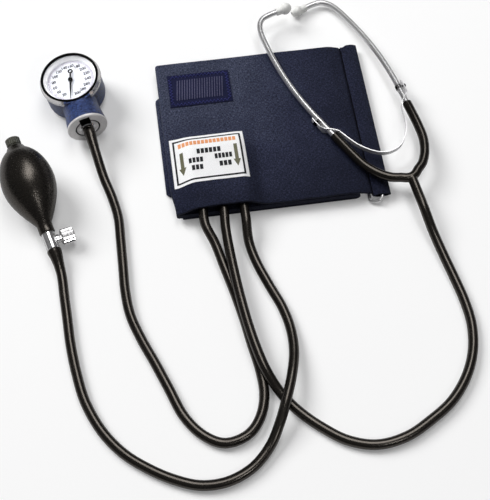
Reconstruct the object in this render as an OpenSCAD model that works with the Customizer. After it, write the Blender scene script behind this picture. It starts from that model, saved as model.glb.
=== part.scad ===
// Home blood pressure kit: aneroid gauge, hand bulb, folded arm cuff and binaural headset, laid on a table.
// The gauge movement is complete: capsule, push rod, toothed sector, pinion, hairspring and needle.

/* [Gauge head] */
// How far the chrome bezel stands out over the head
bezel_over = 1; // [0.5:0.1:2]
// Width of the conical chrome side seen from the front
bezel_lip = 2.1; // [1.5:0.1:3]
// Width of the black ring inside the chrome lip
black_ring = 1.5; // [1:0.1:4]
// Outer radius of the blue head
head_r = 24.5; // [22:0.5:29]
// Wall of the blue case
case_wall = 1.3; // [1:0.1:2]
// Distance from the pedestal axis to the back of the head
head_back = 14.5; // [13:0.5:18]
// Rounding of the back edge
back_round = 4; // [2:0.5:6]
// Height of the bezel front over the pedestal axis
bezel_front = 13.6; // [12.5:0.1:16]
// Thickness of the crystal
crystal_t = 1.2; // [0.8:0.1:2]
// Thickness of the dial plate
dial_t = 0.4; // [0.3:0.1:1]

/* [Gauge pedestal] */
// Distance from the dial centre to the outer face of the end plate
pedestal_len = 44; // [40:0.5:52]
// Radius of the pedestal where it leaves the head
pedestal_neck_r = 14.5; // [13:0.25:17]
// Radius of the pedestal at its end
pedestal_end_r = 16.2; // [15:0.1:18]
// Thickness of the chrome end plate
end_plate_t = 2.2; // [1.5:0.1:3]
// Radius of the pressure capsule
capsule_r = 12.6; // [10:0.2:13]
// Height of the capsule at rest
capsule_h = 6.4; // [5:0.2:8]

/* [Movement] */
// Gear module
gear_m = 0.3; // [0.28:0.01:0.32]
// Teeth of the pinion on the needle arbor
pinion_teeth = 10; // [10:1:12]
// Teeth of the full circle that the sector is cut from
sector_circle_teeth = 80; // [76:1:84]
// Thinning of each tooth, for backlash
tooth_slack = 0.09; // [0.06:0.01:0.14]
// Scale angle of the full range of the dial
scale_deg = 337.5; // [300:7.5:345]
// Angle of the zero mark from straight down the pedestal
zero_deg = 15; // [0:0.5:30]
// Distance from the sector's pivot to the point that the rod lifts
lift_arm = 4; // [3.5:0.1:4.6]
// Thickness of the two movement plates
plate_t = 1; // [0.8:0.1:1.4]
// Length of the needle from its hub
needle_len = 18.6; // [14:0.2:19.5]

/* [Bulb] */
// Largest radius of the bulb
bulb_r = 21; // [18:0.5:26]
// Length from the widest place to the inlet end
bulb_back = 30; // [26:1:36]
// Length from the widest place to the neck
bulb_front = 36.5; // [32:1:44]
// Rubber wall
bulb_wall = 2.2; // [1.6:0.1:3]
// Radius of the bulb's neck
neck_r = 6; // [5.8:0.1:8]
// Length of the neck
neck_len = 8; // [6:0.5:12]
// Radius of the release valve body
valve_r = 5.2; // [4.4:0.1:5.4]
// Length of the valve body seen outside the neck
valve_len = 14; // [12:0.5:18]
// Radius of the knurled knob
knob_r = 6.2; // [5.4:0.1:7]
// Thickness of the knurled knob
knob_t = 10; // [6:0.2:12]

/* [Cuff] */
// Length of the folded cuff
cuff_len = 174; // [160:1:190]
// Width of the cuff
cuff_w = 150; // [130:1:160]
// Thickness of two sewn plies of nylon
ply_t = 2.4; // [2:0.1:3]
// Thickness of the run that holds the bladder
pouch_t = 5.2; // [4.6:0.1:7]
// Rise of the top run over the hoses and the chestpiece
swell_h = 7.6; // [7.5:0.1:9]
// Thickness of the bladder
bladder_t = 2.6; // [2:0.1:3]
// Thickness of the loop field under the cuff
loop_t = 0.8; // [0.5:0.1:1.5]
// Wire of the D-ring
dring_wire = 2.6; // [2:0.1:3]
// Distance between the D-ring's two long bars
dring_w = 10.5; // [9:0.5:12]

/* [Headset] */
// Outer radius of the chrome ear tubes
ear_tube_r = 2.4; // [2:0.1:3]
// Outer radius of the rubber yoke
yoke_r = 3.75; // [3.4:0.05:4.5]
// Height of the headset's plane over the table
headset_z = 15.2; // [15.2:0.1:20]
// Height of the leaf spring's strip
leaf_h = 6.6; // [6.4:0.2:8]
// Thickness of the leaf spring
leaf_t = 0.8; // [0.5:0.1:1.2]
// Largest radius of the ear tips
tip_r = 5.2; // [4.5:0.1:5.6]
// Radius of the chestpiece
chest_r = 18; // [16:0.5:19]
// Height of the chestpiece
chest_h = 6.8; // [6:0.1:7]

/* [Hoses] */
// Outer diameter of all three hoses
hose_d = 7.5; // [6.5:0.1:7.6]
// Bore radius of the hoses
hose_bore = 2.1; // [2.1:0.05:2.4]

/* [Hidden] */
$fn = 48;

// Clearances: a seated face, a turning fit and a loose soft fit
seat = 0.02;
run_fit = 0.05;
soft_gap = 0.3;

// Straight run of a hose that covers the nipple it is pushed on
straight = 7.5;

// Places of the sub-assemblies on the table
gauge_at = [-162.5, 37, 16.6];
gauge_turn = [0, -6, 20];
bulb_at = [-189.5, -59, 21.4];
bulb_turn = [0, 12, -67];
valve_roll = -8;
cuff_turn = 8;
headset_at = [112, -49, headset_z];
headset_turn = 118;

module in_gauge() translate(gauge_at) rotate(gauge_turn) children();
module in_bulb() translate(bulb_at) rotate(bulb_turn) children();
module in_valve() in_bulb() rotate([valve_roll, 0, 0]) children();
module in_cuff() rotate([0, 0, cuff_turn]) children();
module in_headset() translate(headset_at) rotate([0, 0, headset_turn]) children();
// Turns a revolved profile so that its axis runs down the pedestal, towards -Y
module down_pedestal() rotate([90, 0, 0]) children();
// Turns a revolved profile so that its axis runs along the bulb, towards +X
module along_bulb() rotate([0, 90, 0]) children();

// Smooth step from 0 to 1
function ease(t) = t <= 0 ? 0 : t >= 1 ? 1 : t * t * (3 - 2 * t);
function polar(r, a) = [r * cos(a), r * sin(a)];
function flat2(lists) = [for (l = lists) for (p = l) p];
function reversed(l) = [for (i = [len(l) - 1 : -1 : 0]) l[i]];
function unit3(v) = v / norm(v);

// Catmull-Rom spline through a list of points, n steps a span
function spline_at(p0, p1, p2, p3, t) =
    0.5 * ((2 * p1) + (p2 - p0) * t + (2 * p0 - 5 * p1 + 4 * p2 - p3) * t * t
        + (3 * p1 - p0 - 3 * p2 + p3) * t * t * t);
function spline(pts, n) = concat(
    [for (i = [0 : len(pts) - 2]) for (k = [0 : n - 1])
        spline_at(pts[max(i - 1, 0)], pts[i], pts[i + 1], pts[min(i + 2, len(pts) - 1)], k / n)],
    [pts[len(pts) - 1]]);

// Closed skin over a grid of rings, each ring with the same count of points; other turns the cells' diagonals
module skin(rings, other = false) {
    n = len(rings[0]);
    m = len(rings);
    polyhedron(
        points = flat2(rings),
        faces = concat(
            [for (i = [0 : m - 2]) for (j = [0 : n - 1]) for (f = [0, 1])
                let (a = i * n + j, b = i * n + (j + 1) % n, c = a + n, d = b + n)
                other ? (f == 0 ? [a, b, c] : [b, d, c]) : f == 0 ? [a, b, d] : [a, d, c]],
            [[for (j = [n - 1 : -1 : 0]) j]],
            [[for (j = [0 : n - 1]) (m - 1) * n + j]]),
        convexity = 8);
}

// Rings of a tube along a route that stays near the horizontal
function tube_rings(route, r, sides) = [
    for (i = [0 : len(route) - 1])
        let (t = unit3(route[min(i + 1, len(route) - 1)] - route[max(i - 1, 0)]),
             s = unit3(cross([0, 0, 1], t)),
             u = cross(t, s))
        [for (k = [0 : sides - 1]) route[i] + r * (cos(360 * k / sides) * u - sin(360 * k / sides) * s)]];

// Tube with a bore from end to end, as one closed skin
module piped(route, r, bore, sides) {
    n = sides;
    half = n * len(route);
    last = half - n;
    polyhedron(
        points = concat(flat2(tube_rings(route, r, n)), flat2(tube_rings(route, bore, n))),
        faces = concat(
            [for (i = [0 : len(route) - 2]) for (j = [0 : n - 1]) for (f = [0 : 3])
                let (a = i * n + j, b = i * n + (j + 1) % n, c = a + n, d = b + n)
                f == 0 ? [a, d, b] : f == 1 ? [a, c, d] : f == 2 ? [half + d, half + a, half + b]
                    : [half + c, half + a, half + d]],
            [for (j = [0 : n - 1]) for (f = [0 : 3])
                let (a = j, b = (j + 1) % n, c = last + a, d = last + b)
                f == 0 ? [b, half + a, a] : f == 1 ? [b, half + b, half + a]
                    : f == 2 ? [c, half + d, d] : [c, half + c, half + d]]),
        convexity = 10);
}

// Gear flank as an involute of the base circle rb, up to radius r
function inv_angle(rb, r) = let (a = acos(min(1, rb / r))) tan(a) * 180 / PI - a;
// One tooth: its flanks from the root to the tip, about the angle at
function tooth_pts(pitch_r, root_r, tip_r, teeth, slack, at) =
    let (rb = pitch_r * cos(20),
         half = 90 / teeth - slack / pitch_r * 90 / PI,
         lo = max(rb, root_r + 0.02),
         rs = [lo, (lo + pitch_r) / 2, pitch_r, tip_r],
         sweep = [for (r = rs) half + inv_angle(rb, pitch_r) - inv_angle(rb, r)])
    concat(
        [polar(root_r, at - sweep[0])],
        [for (i = [0 : len(rs) - 1]) polar(rs[i], at - sweep[i])],
        [for (i = [len(rs) - 1 : -1 : 0]) polar(rs[i], at + sweep[i])],
        [polar(root_r, at + sweep[0])]);

// Sides of the hoses' round section, and the largest radius of a barb inside it
hose_sides = 10;
barb_r = hose_bore * cos(180 / hose_sides) - run_fit;

// Bezel: its skirt is left out over an angle each side of the pedestal, where the wall of the case stands up
bezel_r = head_r + bezel_over;
neck_deg = 27;
cone_drop = 3.4;
lip_w = 0.6;
neck_lip_w = 0.3;
wall_gap = 0.1;

// Heights inside the head, over the pedestal axis
head_floor = -head_back + case_wall;
crystal_z = bezel_front - 0.8 - crystal_t;
dial_z = bezel_front - 5.6;
case_rim = bezel_front - 5;
needle_z = dial_z + 1.8;
front_plate_z = dial_z - 4;
back_plate_z = head_floor + 6.3;
bezel_in_r = bezel_r - bezel_lip;
dial_r = head_r - case_wall - 0.2;
dial_rim_w = 0.5;
pillar_at = [[-12, 8], [12, 8], [10, -16], [-9.5, -17.5]];
pillar_r = 1.4;
screw_r = 0.7;

// Pinion, sector and lift arm
pinion_r = gear_m * pinion_teeth / 2;
sector_r = gear_m * sector_circle_teeth / 2;
gear_gap = pinion_r + sector_r;
sector_at = [-lift_arm, -sqrt(gear_gap * gear_gap - lift_arm * lift_arm)];
mesh_deg = atan2(-sector_at[1], -sector_at[0]);
sector_deg = scale_deg * pinion_teeth / sector_circle_teeth;
sector_span = sector_deg / 2 + 5;
gear_t = 1.2;
arm_w = 1.6;
tooth_pitch_deg = 360 / sector_circle_teeth;

// Gauge head and pedestal
chamber_floor = head_r + 3;
chamber_r = pedestal_end_r - case_wall - 0.7;
rod_hole_r = 3;
plate_face = pedestal_len - end_plate_t;
capsule_top = plate_face - 2.4 - capsule_h;

module head_outline(r, back, round_r, top) {
    polygon(concat(
        [[0, -back]],
        [for (a = [-90 : 15 : 0]) [r - round_r, -back + round_r] + polar(round_r, a)],
        [[r, top], [0, top]]));
}

module pedestal_outline(grow) {
    polygon([
        [0, head_r - 8], [pedestal_neck_r - grow, head_r - 8], [pedestal_neck_r - grow, head_r + 3],
        [pedestal_end_r - grow, plate_face - 2], [pedestal_end_r - grow, plate_face], [0, plate_face]]);
}

// Block outside the radius inner, over an angle each side of the pedestal
module neck_sector(deg, inner, h) difference() {
    linear_extrude(h) polygon([[0, 0], polar(2 * head_r, -90 - deg), polar(2 * head_r, -90 + deg)]);
    translate([0, 0, -1]) cylinder(r = inner, h = h + 2);
}

module gauge_case() color("midnightblue") in_gauge() difference() {
    union() {
        rotate_extrude() head_outline(head_r, head_back, back_round, case_rim);
        intersection() {
            down_pedestal() rotate_extrude() pedestal_outline(0);
            translate([-pedestal_len, -pedestal_len - 1, -head_back + 0.6])
                cube([2 * pedestal_len, pedestal_len, 2 * pedestal_len]);
        }
        intersection() {
            cylinder(r = bezel_r, h = bezel_front - 0.3);
            neck_sector(neck_deg - 0.5, head_r - case_wall, head_back);
        }
    }
    translate([0, 0, head_floor])
        cylinder(r = head_r - case_wall, h = 2 * head_back);
    // Seat of the bezel, with the shoulder of the neck standing in the gap of its skirt
    translate([0, 0, case_rim - 0.01]) difference() {
        cylinder(r = bezel_r + soft_gap, h = 2 * head_back);
        neck_sector(neck_deg - 0.5, bezel_in_r + neck_lip_w + wall_gap, 2 * head_back);
    }
    translate([0, 0, bezel_front - 0.3]) cylinder(r = bezel_r + 1.5, h = head_back);
    down_pedestal() translate([0, 0, chamber_floor]) cylinder(r = chamber_r, h = pedestal_len);
    down_pedestal() translate([0, 0, head_r - 10]) cylinder(r = rod_hole_r, h = pedestal_len);
    for (p = pillar_at) translate([p[0], p[1], -head_back - 1]) cylinder(r = screw_r + run_fit, h = 4);
}

module gauge_bezel() color("gainsboro") in_gauge() difference() {
    rotate_extrude() polygon([
        [bezel_in_r, bezel_front - 0.8], [bezel_in_r, bezel_front - 0.2], [bezel_in_r + 0.2, bezel_front],
        [bezel_in_r + lip_w, bezel_front], [bezel_r, bezel_front - cone_drop], [bezel_r, case_rim + seat],
        [head_r - case_wall, case_rim + seat], [head_r - case_wall, bezel_front - 0.8]]);
    translate([0, 0, case_rim - 1]) neck_sector(neck_deg, bezel_in_r + neck_lip_w, head_back);
}

// Black ring on the crystal, with a flange over the bezel's lip
module crystal_ring() color("black") in_gauge() rotate_extrude() polygon([
    [bezel_in_r - seat, bezel_front + seat], [bezel_in_r + lip_w, bezel_front + seat],
    [bezel_in_r + lip_w - 0.2, bezel_front + 0.3], [bezel_in_r - black_ring + 0.3, bezel_front + 0.3],
    [bezel_in_r - black_ring, bezel_front], [bezel_in_r - black_ring, crystal_z + crystal_t + seat],
    [bezel_in_r - seat, crystal_z + crystal_t + seat]]);

module gauge_crystal() color("lightcyan", 0.4) in_gauge()
    translate([0, 0, crystal_z]) cylinder(r = head_r - case_wall - 0.1, h = crystal_t);

// Dial with a turned-up rim that hides the wall of the case
module dial_plate() color("white") in_gauge() difference() {
    translate([0, 0, dial_z]) cylinder(r = dial_r, h = crystal_z - dial_z - 0.1);
    translate([0, 0, dial_z + dial_t]) cylinder(r = dial_r - dial_rim_w, h = crystal_z);
    translate([0, 0, dial_z - 1]) cylinder(r = 1.6, h = 3);
    for (s = [-1, 1]) translate([s * 14, 0, dial_z - 1]) cylinder(r = screw_r + run_fit, h = 3);
}

module dial_screws() color("silver") in_gauge() for (s = [-1, 1]) translate([s * 14, 0, 0]) {
    translate([0, 0, dial_z + dial_t + seat]) difference() {
        cylinder(r = 1.3, h = 0.6);
        translate([-2, -0.2, 0.35]) cube([4, 0.4, 1]);
    }
    translate([0, 0, front_plate_z + plate_t + 1.4]) cylinder(r = screw_r, h = dial_z + dial_t - front_plate_z
        - plate_t - 1.4 + 0.1);
}

module dial_feet() color("goldenrod") in_gauge() for (s = [-1, 1]) translate([s * 14, 0, 0]) difference() {
    translate([0, 0, front_plate_z + plate_t + seat]) cylinder(r = 1.6, h = dial_z - front_plate_z - plate_t
        - 2 * seat);
    translate([0, 0, front_plate_z + plate_t + 1.2]) cylinder(r = screw_r + run_fit, h = 9);
}

// Needle in its own plane, pointing down the pedestal and turned to the zero mark
module gauge_needle() color("black") in_gauge() rotate([0, 0, -zero_deg]) translate([0, 0, needle_z])
    difference() {
        union() {
            linear_extrude(0.5) polygon([
                [-0.75, 0], [-0.75, -5], [-0.2, -needle_len], [0.2, -needle_len], [0.75, -5], [0.75, 0],
                [0.5, 6.4], [-0.5, 6.4]]);
            translate([0, 8.2, 0]) cylinder(r = 2.1, h = 0.5);
            translate([0, 0, -0.4]) cylinder(r = 1.9, h = 1.3);
        }
        translate([0, 8.2, -1]) cylinder(r = 1.1, h = 3);
        translate([0, 0, -1]) cylinder(r = 0.62, h = 3);
    }

module needle_arbor() color("gold") in_gauge() {
    translate([0, 0, back_plate_z - 0.4]) cylinder(r = 0.45, h = plate_t + 0.5);
    translate([0, 0, back_plate_z + plate_t + run_fit])
        cylinder(r = 0.8, h = front_plate_z - back_plate_z - plate_t - 2 * run_fit);
    translate([0, 0, front_plate_z - 0.1]) cylinder(r = 0.6, h = needle_z - front_plate_z + 1);
    translate([0, 0, -gear_t / 2 - 0.2]) linear_extrude(gear_t + 0.4)
        polygon(flat2([for (i = [0 : pinion_teeth - 1])
            tooth_pts(pinion_r, pinion_r - 1.28 * gear_m, pinion_r + 0.9 * gear_m, pinion_teeth,
                tooth_slack, mesh_deg + 180 + scale_deg / 2 + (i + 0.5) * 360 / pinion_teeth)]));
}

// The sector at mid travel, teeth towards the pinion and lift arm towards +X, about its own pivot
module sector_plan() {
    root = sector_r - 1.3 * gear_m;
    teeth_each_side = floor(sector_span / tooth_pitch_deg);
    difference() {
        union() {
            polygon(concat(
                [polar(2, mesh_deg + 180)],
                [polar(2, mesh_deg - 100)],
                [polar(root - 1.4, mesh_deg - sector_span - 1)],
                [polar(root, mesh_deg - sector_span - 1)],
                flat2([for (i = [-teeth_each_side : teeth_each_side])
                    tooth_pts(sector_r, root, sector_r + 0.7 * gear_m, sector_circle_teeth, tooth_slack,
                        mesh_deg + i * tooth_pitch_deg)]),
                [polar(root, mesh_deg + sector_span + 1)],
                [polar(root - 1.4, mesh_deg + sector_span + 1)],
                [polar(2, mesh_deg + 100)]));
            circle(r = 2.2);
            translate([0, -arm_w / 2]) square([lift_arm + 1.2, arm_w]);
        }
        circle(r = 0.82);
        polygon(concat(
            [polar(4, mesh_deg - 12), polar(4, mesh_deg + 12)],
            [for (a = [20 : -8 : -20]) polar(root - 1.6, mesh_deg + a)]));
    }
}

module sector_gear() color("goldenrod") in_gauge() translate([sector_at[0], sector_at[1], -gear_t / 2])
    rotate([0, 0, -sector_deg / 2]) linear_extrude(gear_t) sector_plan();

module sector_shaft() color("silver") in_gauge() translate([sector_at[0], sector_at[1], 0]) {
    translate([0, 0, back_plate_z + 0.1]) cylinder(r = 0.5, h = front_plate_z - back_plate_z + plate_t - 0.2);
    translate([0, 0, -2]) cylinder(r = 0.8, h = 4);
}

module movement_plate(z, holes_r) in_gauge() translate([0, 0, z]) difference() {
    linear_extrude(plate_t) hull() for (p = pillar_at) translate(p) circle(r = 3);
    translate([0, 0, -1]) cylinder(r = holes_r, h = 4);
    translate([sector_at[0], sector_at[1], -1]) cylinder(r = 0.5 + run_fit, h = 4);
    for (p = pillar_at) translate([p[0], p[1], -1]) cylinder(r = screw_r + run_fit, h = 4);
    translate([2, -9, -1]) cylinder(r = 2.4, h = 4);
}

module movement_front_plate() color("goldenrod") movement_plate(front_plate_z, 0.6 + run_fit);

module movement_back_plate() color("goldenrod") {
    movement_plate(back_plate_z, 0.45 + run_fit);
    // Stud of the hairspring
    in_gauge() translate([0, 6.9, back_plate_z + plate_t - 0.1]) cylinder(r = 0.6, h = 2.6);
}

// Four pillars between the plates, with the screws that hold the movement to the back of the case
module movement_pillars() color("silver") in_gauge() for (p = pillar_at) translate([p[0], p[1], 0]) {
    translate([0, 0, back_plate_z + plate_t + seat])
        cylinder(r = pillar_r, h = front_plate_z - back_plate_z - plate_t - 2 * seat);
    translate([0, 0, head_floor + seat]) cylinder(r = pillar_r, h = back_plate_z - head_floor - 2 * seat);
    translate([0, 0, -head_back + 0.3]) cylinder(r = screw_r, h = front_plate_z + head_back + plate_t + 0.1);
    translate([0, 0, front_plate_z + plate_t + seat]) cylinder(r = 1.3, h = 0.7);
}

spring_z = back_plate_z + plate_t + 1.2;
spring_turns = 4;
function spiral(r0, r1, turns, off) = [for (i = [0 : 18 * turns])
    polar(r0 + (r1 - r0) * i / (18 * turns) + off, 90 + i * 20)];
module hairspring() color("steelblue") in_gauge() translate([0, 0, spring_z]) linear_extrude(0.8)
    polygon(concat(spiral(1.5, 6, spring_turns, 0.12), reversed(spiral(1.5, 6, spring_turns, -0.12))));

// Point of the rod, just under the lift arm at rest
rod_gap = 0.2;
rod_tip_y = sector_at[1] - lift_arm * tan(sector_deg / 2) - arm_w / 2 / cos(sector_deg / 2) - rod_gap;
module push_rod() color("silver") in_gauge() down_pedestal() {
    translate([0, 0, -rod_tip_y]) cylinder(r1 = 0.25, r2 = 0.8, h = 1);
    translate([0, 0, -rod_tip_y + 0.9]) cylinder(r = 0.8, h = capsule_top + rod_tip_y - 1.9);
    translate([0, 0, capsule_top - 1.2]) cylinder(r = 2.2, h = 1.2 - seat);
}

// Corrugated diaphragm: height at radius r, over the joint of the two halves
capsule_wall = 0.4;
function corrugation(r, h) = (h - capsule_wall) * ease((capsule_r - r) / 4) - 0.35 * (1 - cos((r - 2) * 120))
    * ease((capsule_r - 2 - r) / 2);
module diaphragm_profile(h, inner_r) {
    radii = [for (i = [0 : 22]) inner_r + (capsule_r - inner_r) * i / 22];
    polygon(concat(
        [for (r = radii) [r, corrugation(r, h) + capsule_wall]],
        [for (r = reversed(radii)) [r, corrugation(r, h)]]));
}

module capsule_lower() color("peru") in_gauge() down_pedestal()
    translate([0, 0, capsule_top + capsule_h / 2 + seat]) rotate_extrude() diaphragm_profile(capsule_h / 2, 2.3);

module capsule_upper() color("peru") in_gauge() down_pedestal()
    translate([0, 0, capsule_top + capsule_h / 2 - seat]) mirror([0, 0, 1])
        rotate_extrude() diaphragm_profile(capsule_h / 2 - seat, 0);

// End plate with a ring groove round the hose, and a slot over it towards the front of the gauge
groove_r = 9;
groove_w = 1.3;
slot_w = 8.6;
module end_plate() color("gainsboro") in_gauge() down_pedestal() translate([0, 0, plate_face + seat])
    difference() {
        rotate_extrude() polygon([
            [3.1, -1.6], [chamber_r - 0.1, -1.6], [chamber_r - 0.1, 0], [pedestal_end_r + 0.3, 0],
            [pedestal_end_r + 0.3, end_plate_t - 0.6], [pedestal_end_r - 0.1, end_plate_t],
            [groove_r + groove_w, end_plate_t], [groove_r + groove_w, end_plate_t - 1],
            [groove_r, end_plate_t - 1], [groove_r, end_plate_t - 0.1], [3.1, end_plate_t - 0.1]]);
        translate([-slot_w / 2, 3.6, end_plate_t - 2.8]) cube([slot_w, pedestal_end_r - 6, 3]);
    }

module hose_collar() color("silver") in_gauge() down_pedestal()
    translate([0, 0, pedestal_len + seat]) rotate_extrude() polygon([
        [3.1, 0], [6.4, 0], [6.4, 0.5], [5.9, 1], [3.1, 1]]);

module gauge_nipple() color("silver") in_gauge() down_pedestal() rotate_extrude() polygon([
    [1, plate_face - 2.3], [3.6, plate_face - 2.3], [3.6, plate_face - 1.7], [3, plate_face - 1.7],
    [3, pedestal_len + 1], [barb_r - 0.4, pedestal_len + 1], [barb_r - 0.4, pedestal_len + 3],
    [barb_r, pedestal_len + 3], [barb_r - 0.4, pedestal_len + 5], [barb_r, pedestal_len + 5],
    [barb_r - 0.5, pedestal_len + 7.4], [1, pedestal_len + 7.4]]);

// Bulb profile: an ellipse at the inlet end, a cosine taper to the neck
inlet_r = 5.2;
function bulb_at_x(x, cut) = x < 0
    ? (bulb_r - cut) * sqrt(max(0, 1 - pow(x / (bulb_back + 1.2), 2)))
    : neck_r - cut + (bulb_r - neck_r) * cos(90 * x / bulb_front);
function bulb_line(cut, x0, x1) = [for (i = [0 : 24]) let (x = x0 + (x1 - x0) * i / 24) [bulb_at_x(x, cut), x]];
plug_r = neck_r - bulb_wall;
module bulb_shell() color("black") in_bulb() along_bulb() rotate_extrude() polygon(concat(
    [[inlet_r - 1.9, -bulb_back - 2], [inlet_r + 1.4, -bulb_back - 2]],
    bulb_line(0, -bulb_back + 1.2, bulb_front),
    [[neck_r, bulb_front + neck_len], [plug_r, bulb_front + neck_len]],
    reversed(bulb_line(bulb_wall, -bulb_back + 4, bulb_front)),
    [[inlet_r - 1.9, -bulb_back + 4]]));

// One-way inlet at the free end of the bulb
module inlet_valve_body() color("dimgray") in_bulb() along_bulb() translate([0, 0, -bulb_back - 2 - seat])
    rotate_extrude() polygon([
        [1.2, -7.4], [4.8, -7.4], [5.8, -6.6], [5.8, -1.6], [5.2, -1], [5.2, 0],
        [inlet_r - 2, 0], [inlet_r - 2, 6.4], [2.6, 6.4], [2.6, -3.8], [1.2, -3.8]]);

module inlet_valve_cage() color("silver") in_bulb() along_bulb() translate([0, 0, -bulb_back - 2 - seat])
    difference() {
        translate([0, 0, -1.8]) cylinder(r = 2.55, h = 1.2);
        for (a = [0 : 120 : 240]) rotate([0, 0, a]) translate([1.4, 0, -3]) cylinder(r = 0.6, h = 5);
    }

module inlet_disc() color("black") in_bulb() along_bulb() translate([0, 0, -bulb_back - 5.6])
    cylinder(r = 2.3, h = 0.6);

// Release valve between the neck and the hose, with its screw to one side
valve_start = bulb_front + neck_len;
valve_end = valve_start + valve_len;
screw_x = valve_start + valve_len * 0.45;
chamber_bore = 1.5;
module release_valve_body() color("gainsboro") in_valve() difference() {
    union() {
        along_bulb() rotate_extrude() polygon([
            [0, valve_start - 6.5], [plug_r - seat, valve_start - 6.5], [plug_r - seat, valve_start + seat],
            [valve_r, valve_start + seat], [valve_r, valve_end - 0.8], [valve_r - 0.8, valve_end],
            [0, valve_end]]);
        translate([screw_x, 0, 0]) rotate([-90, 0, 0]) cylinder(r = 3.3, h = valve_r + 1.6);
    }
    along_bulb() translate([0, 0, valve_start - 8]) cylinder(r = chamber_bore, h = valve_len + 12);
    along_bulb() translate([0, 0, valve_start - 8]) cylinder(r = 2.6, h = 5.6);
    translate([screw_x, 0.9, 0]) rotate([-90, 0, 0]) cylinder(r = 1.7, h = 12);
    translate([screw_x, valve_r + 0.4, 0]) rotate([-90, 0, 0]) cylinder(r = 2.2, h = 12);
    along_bulb() translate([0, 0, valve_end - 3.4]) cylinder(r = 2.4, h = 12);
}

// Outlet check valve: a seat ring in the mouth of the body and a loose disc behind it
disc_t = 0.6;
outlet_at = valve_start - 6.5;
module outlet_seat() color("silver") in_valve() along_bulb() translate([0, 0, outlet_at + 0.1]) difference() {
    cylinder(r = 2.55, h = 1.1);
    translate([0, 0, -1]) cylinder(r = 1.2, h = 4);
}

module outlet_disc() color("black") in_valve() along_bulb() translate([0, 0, outlet_at + 1.4])
    cylinder(r = 2.3, h = disc_t);

// Rubber pad that the screw presses on the vent seat
pad_y = 1.4;
module valve_pad() color("black") in_valve() translate([screw_x, pad_y, 0]) rotate([-90, 0, 0])
    cylinder(r = 1.6, h = 1.2);

screw_start = pad_y + 1.3;
knob_start = valve_r + 3.6;
module release_screw() color("silver") in_valve() translate([screw_x, 0, 0]) rotate([-90, 0, 0]) {
    translate([0, 0, screw_start]) cylinder(r = 1.65, h = knob_start - screw_start);
    translate([0, 0, knob_start - 0.1]) cylinder(r = 1.2, h = knob_t - 0.4);
}

module release_knob() color("silver") in_valve() translate([screw_x, knob_start + seat, 0]) rotate([-90, 0, 0])
    difference() {
        union() {
            translate([0, 0, 0.6]) linear_extrude(knob_t - 1.2) polygon([for (i = [0 : 71])
                polar(knob_r - (i % 2) * 0.35, i * 5)]);
            cylinder(r1 = knob_r - 1, r2 = knob_r - 0.35, h = 0.62);
            translate([0, 0, knob_t - 0.62]) cylinder(r1 = knob_r - 0.35, r2 = knob_r - 1, h = 0.62);
            translate([0, 0, -1.2]) cylinder(r = 3, h = 1.3);
        }
        translate([0, 0, -2]) cylinder(r = 1.7, h = 2);
        translate([0, 0, -0.1]) cylinder(r = 1.22, h = knob_t - 0.3);
    }

module valve_nipple() color("silver") in_valve() along_bulb() rotate_extrude() polygon([
    [1, valve_end - 3.3], [2.38, valve_end - 3.3], [2.38, valve_end], [barb_r - 0.4, valve_end],
    [barb_r - 0.4, valve_end + 2], [barb_r, valve_end + 2], [barb_r - 0.4, valve_end + 4],
    [barb_r, valve_end + 4], [barb_r - 0.5, valve_end + 6.4], [1, valve_end + 6.4]]);

// Tapered rubber sleeve over the straight end of the hose
sleeve_len = straight;
module hose_sleeve() color("black") in_valve() along_bulb() rotate_extrude() polygon([
    [hose_d / 2 + run_fit, valve_end + 0.1], [valve_r + 0.1, valve_end + 0.1], [valve_r + 0.3, valve_end + 0.8],
    [valve_r + 0.2, valve_end + 2], [hose_d / 2 + 0.6, valve_end + sleeve_len - 0.6],
    [hose_d / 2 + run_fit, valve_end + sleeve_len]]);

// Folded cuff: the top run turns under at the left, the pouch run turns under at the right
run_gap = 0.3;
bottom_z = loop_t;
pouch_z = bottom_z + ply_t + run_gap;
top_z = pouch_z + pouch_t + run_gap;
cuff_x = cuff_len / 2;
fold_x = cuff_x - 24;
sleeve_w = 14.5;
sleeve_x = cuff_x - sleeve_w;
droop = 4.4;
front_y = -cuff_w / 2;
swell_x = -cuff_x + 40;
hose_pitch = 16;
hose_x = [swell_x - hose_pitch, swell_x, swell_x + hose_pitch];
chest_y = front_y + 38;
hose_z = pouch_z + pouch_t + 0.25 + hose_d / 2;
port_y = front_y + 13;
label_x = [swell_x - 36, swell_x + 24];
label_y = [front_y + 27, front_y + 73];

// Height of the top run over its flat height
function swell(x, y) = swell_h * ease((36 - abs(x - swell_x)) / 18) * ease((chest_y + chest_r + 26 - y) / 26)
    - droop * ease((x - fold_x + 4) / 18);
function top_surface(x, y) = top_z + ply_t + swell(x, y);

// Stations of the top run, close together where it bends; the label lies on the same stations
top_xs = concat(
    [sleeve_x - 0.4, fold_x + 6, fold_x + 2, fold_x - 2, fold_x - 6, 40, 20, 0],
    [for (d = [36, 32, 28, label_x[1] - swell_x, 18, 8, -8, -18, -24, -28, -32, label_x[0] - swell_x]) swell_x + d]);
top_ys = concat(
    [for (d = [0, 15]) front_y + d],
    [for (y = [label_y[0], label_y[0] + 12, label_y[0] + 24, label_y[0] + 30, label_y[0] + 35, label_y[0] + 40,
        label_y[1], label_y[1] + 5, label_y[1] + 11]) y],
    [front_y + 110, -front_y]);

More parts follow.
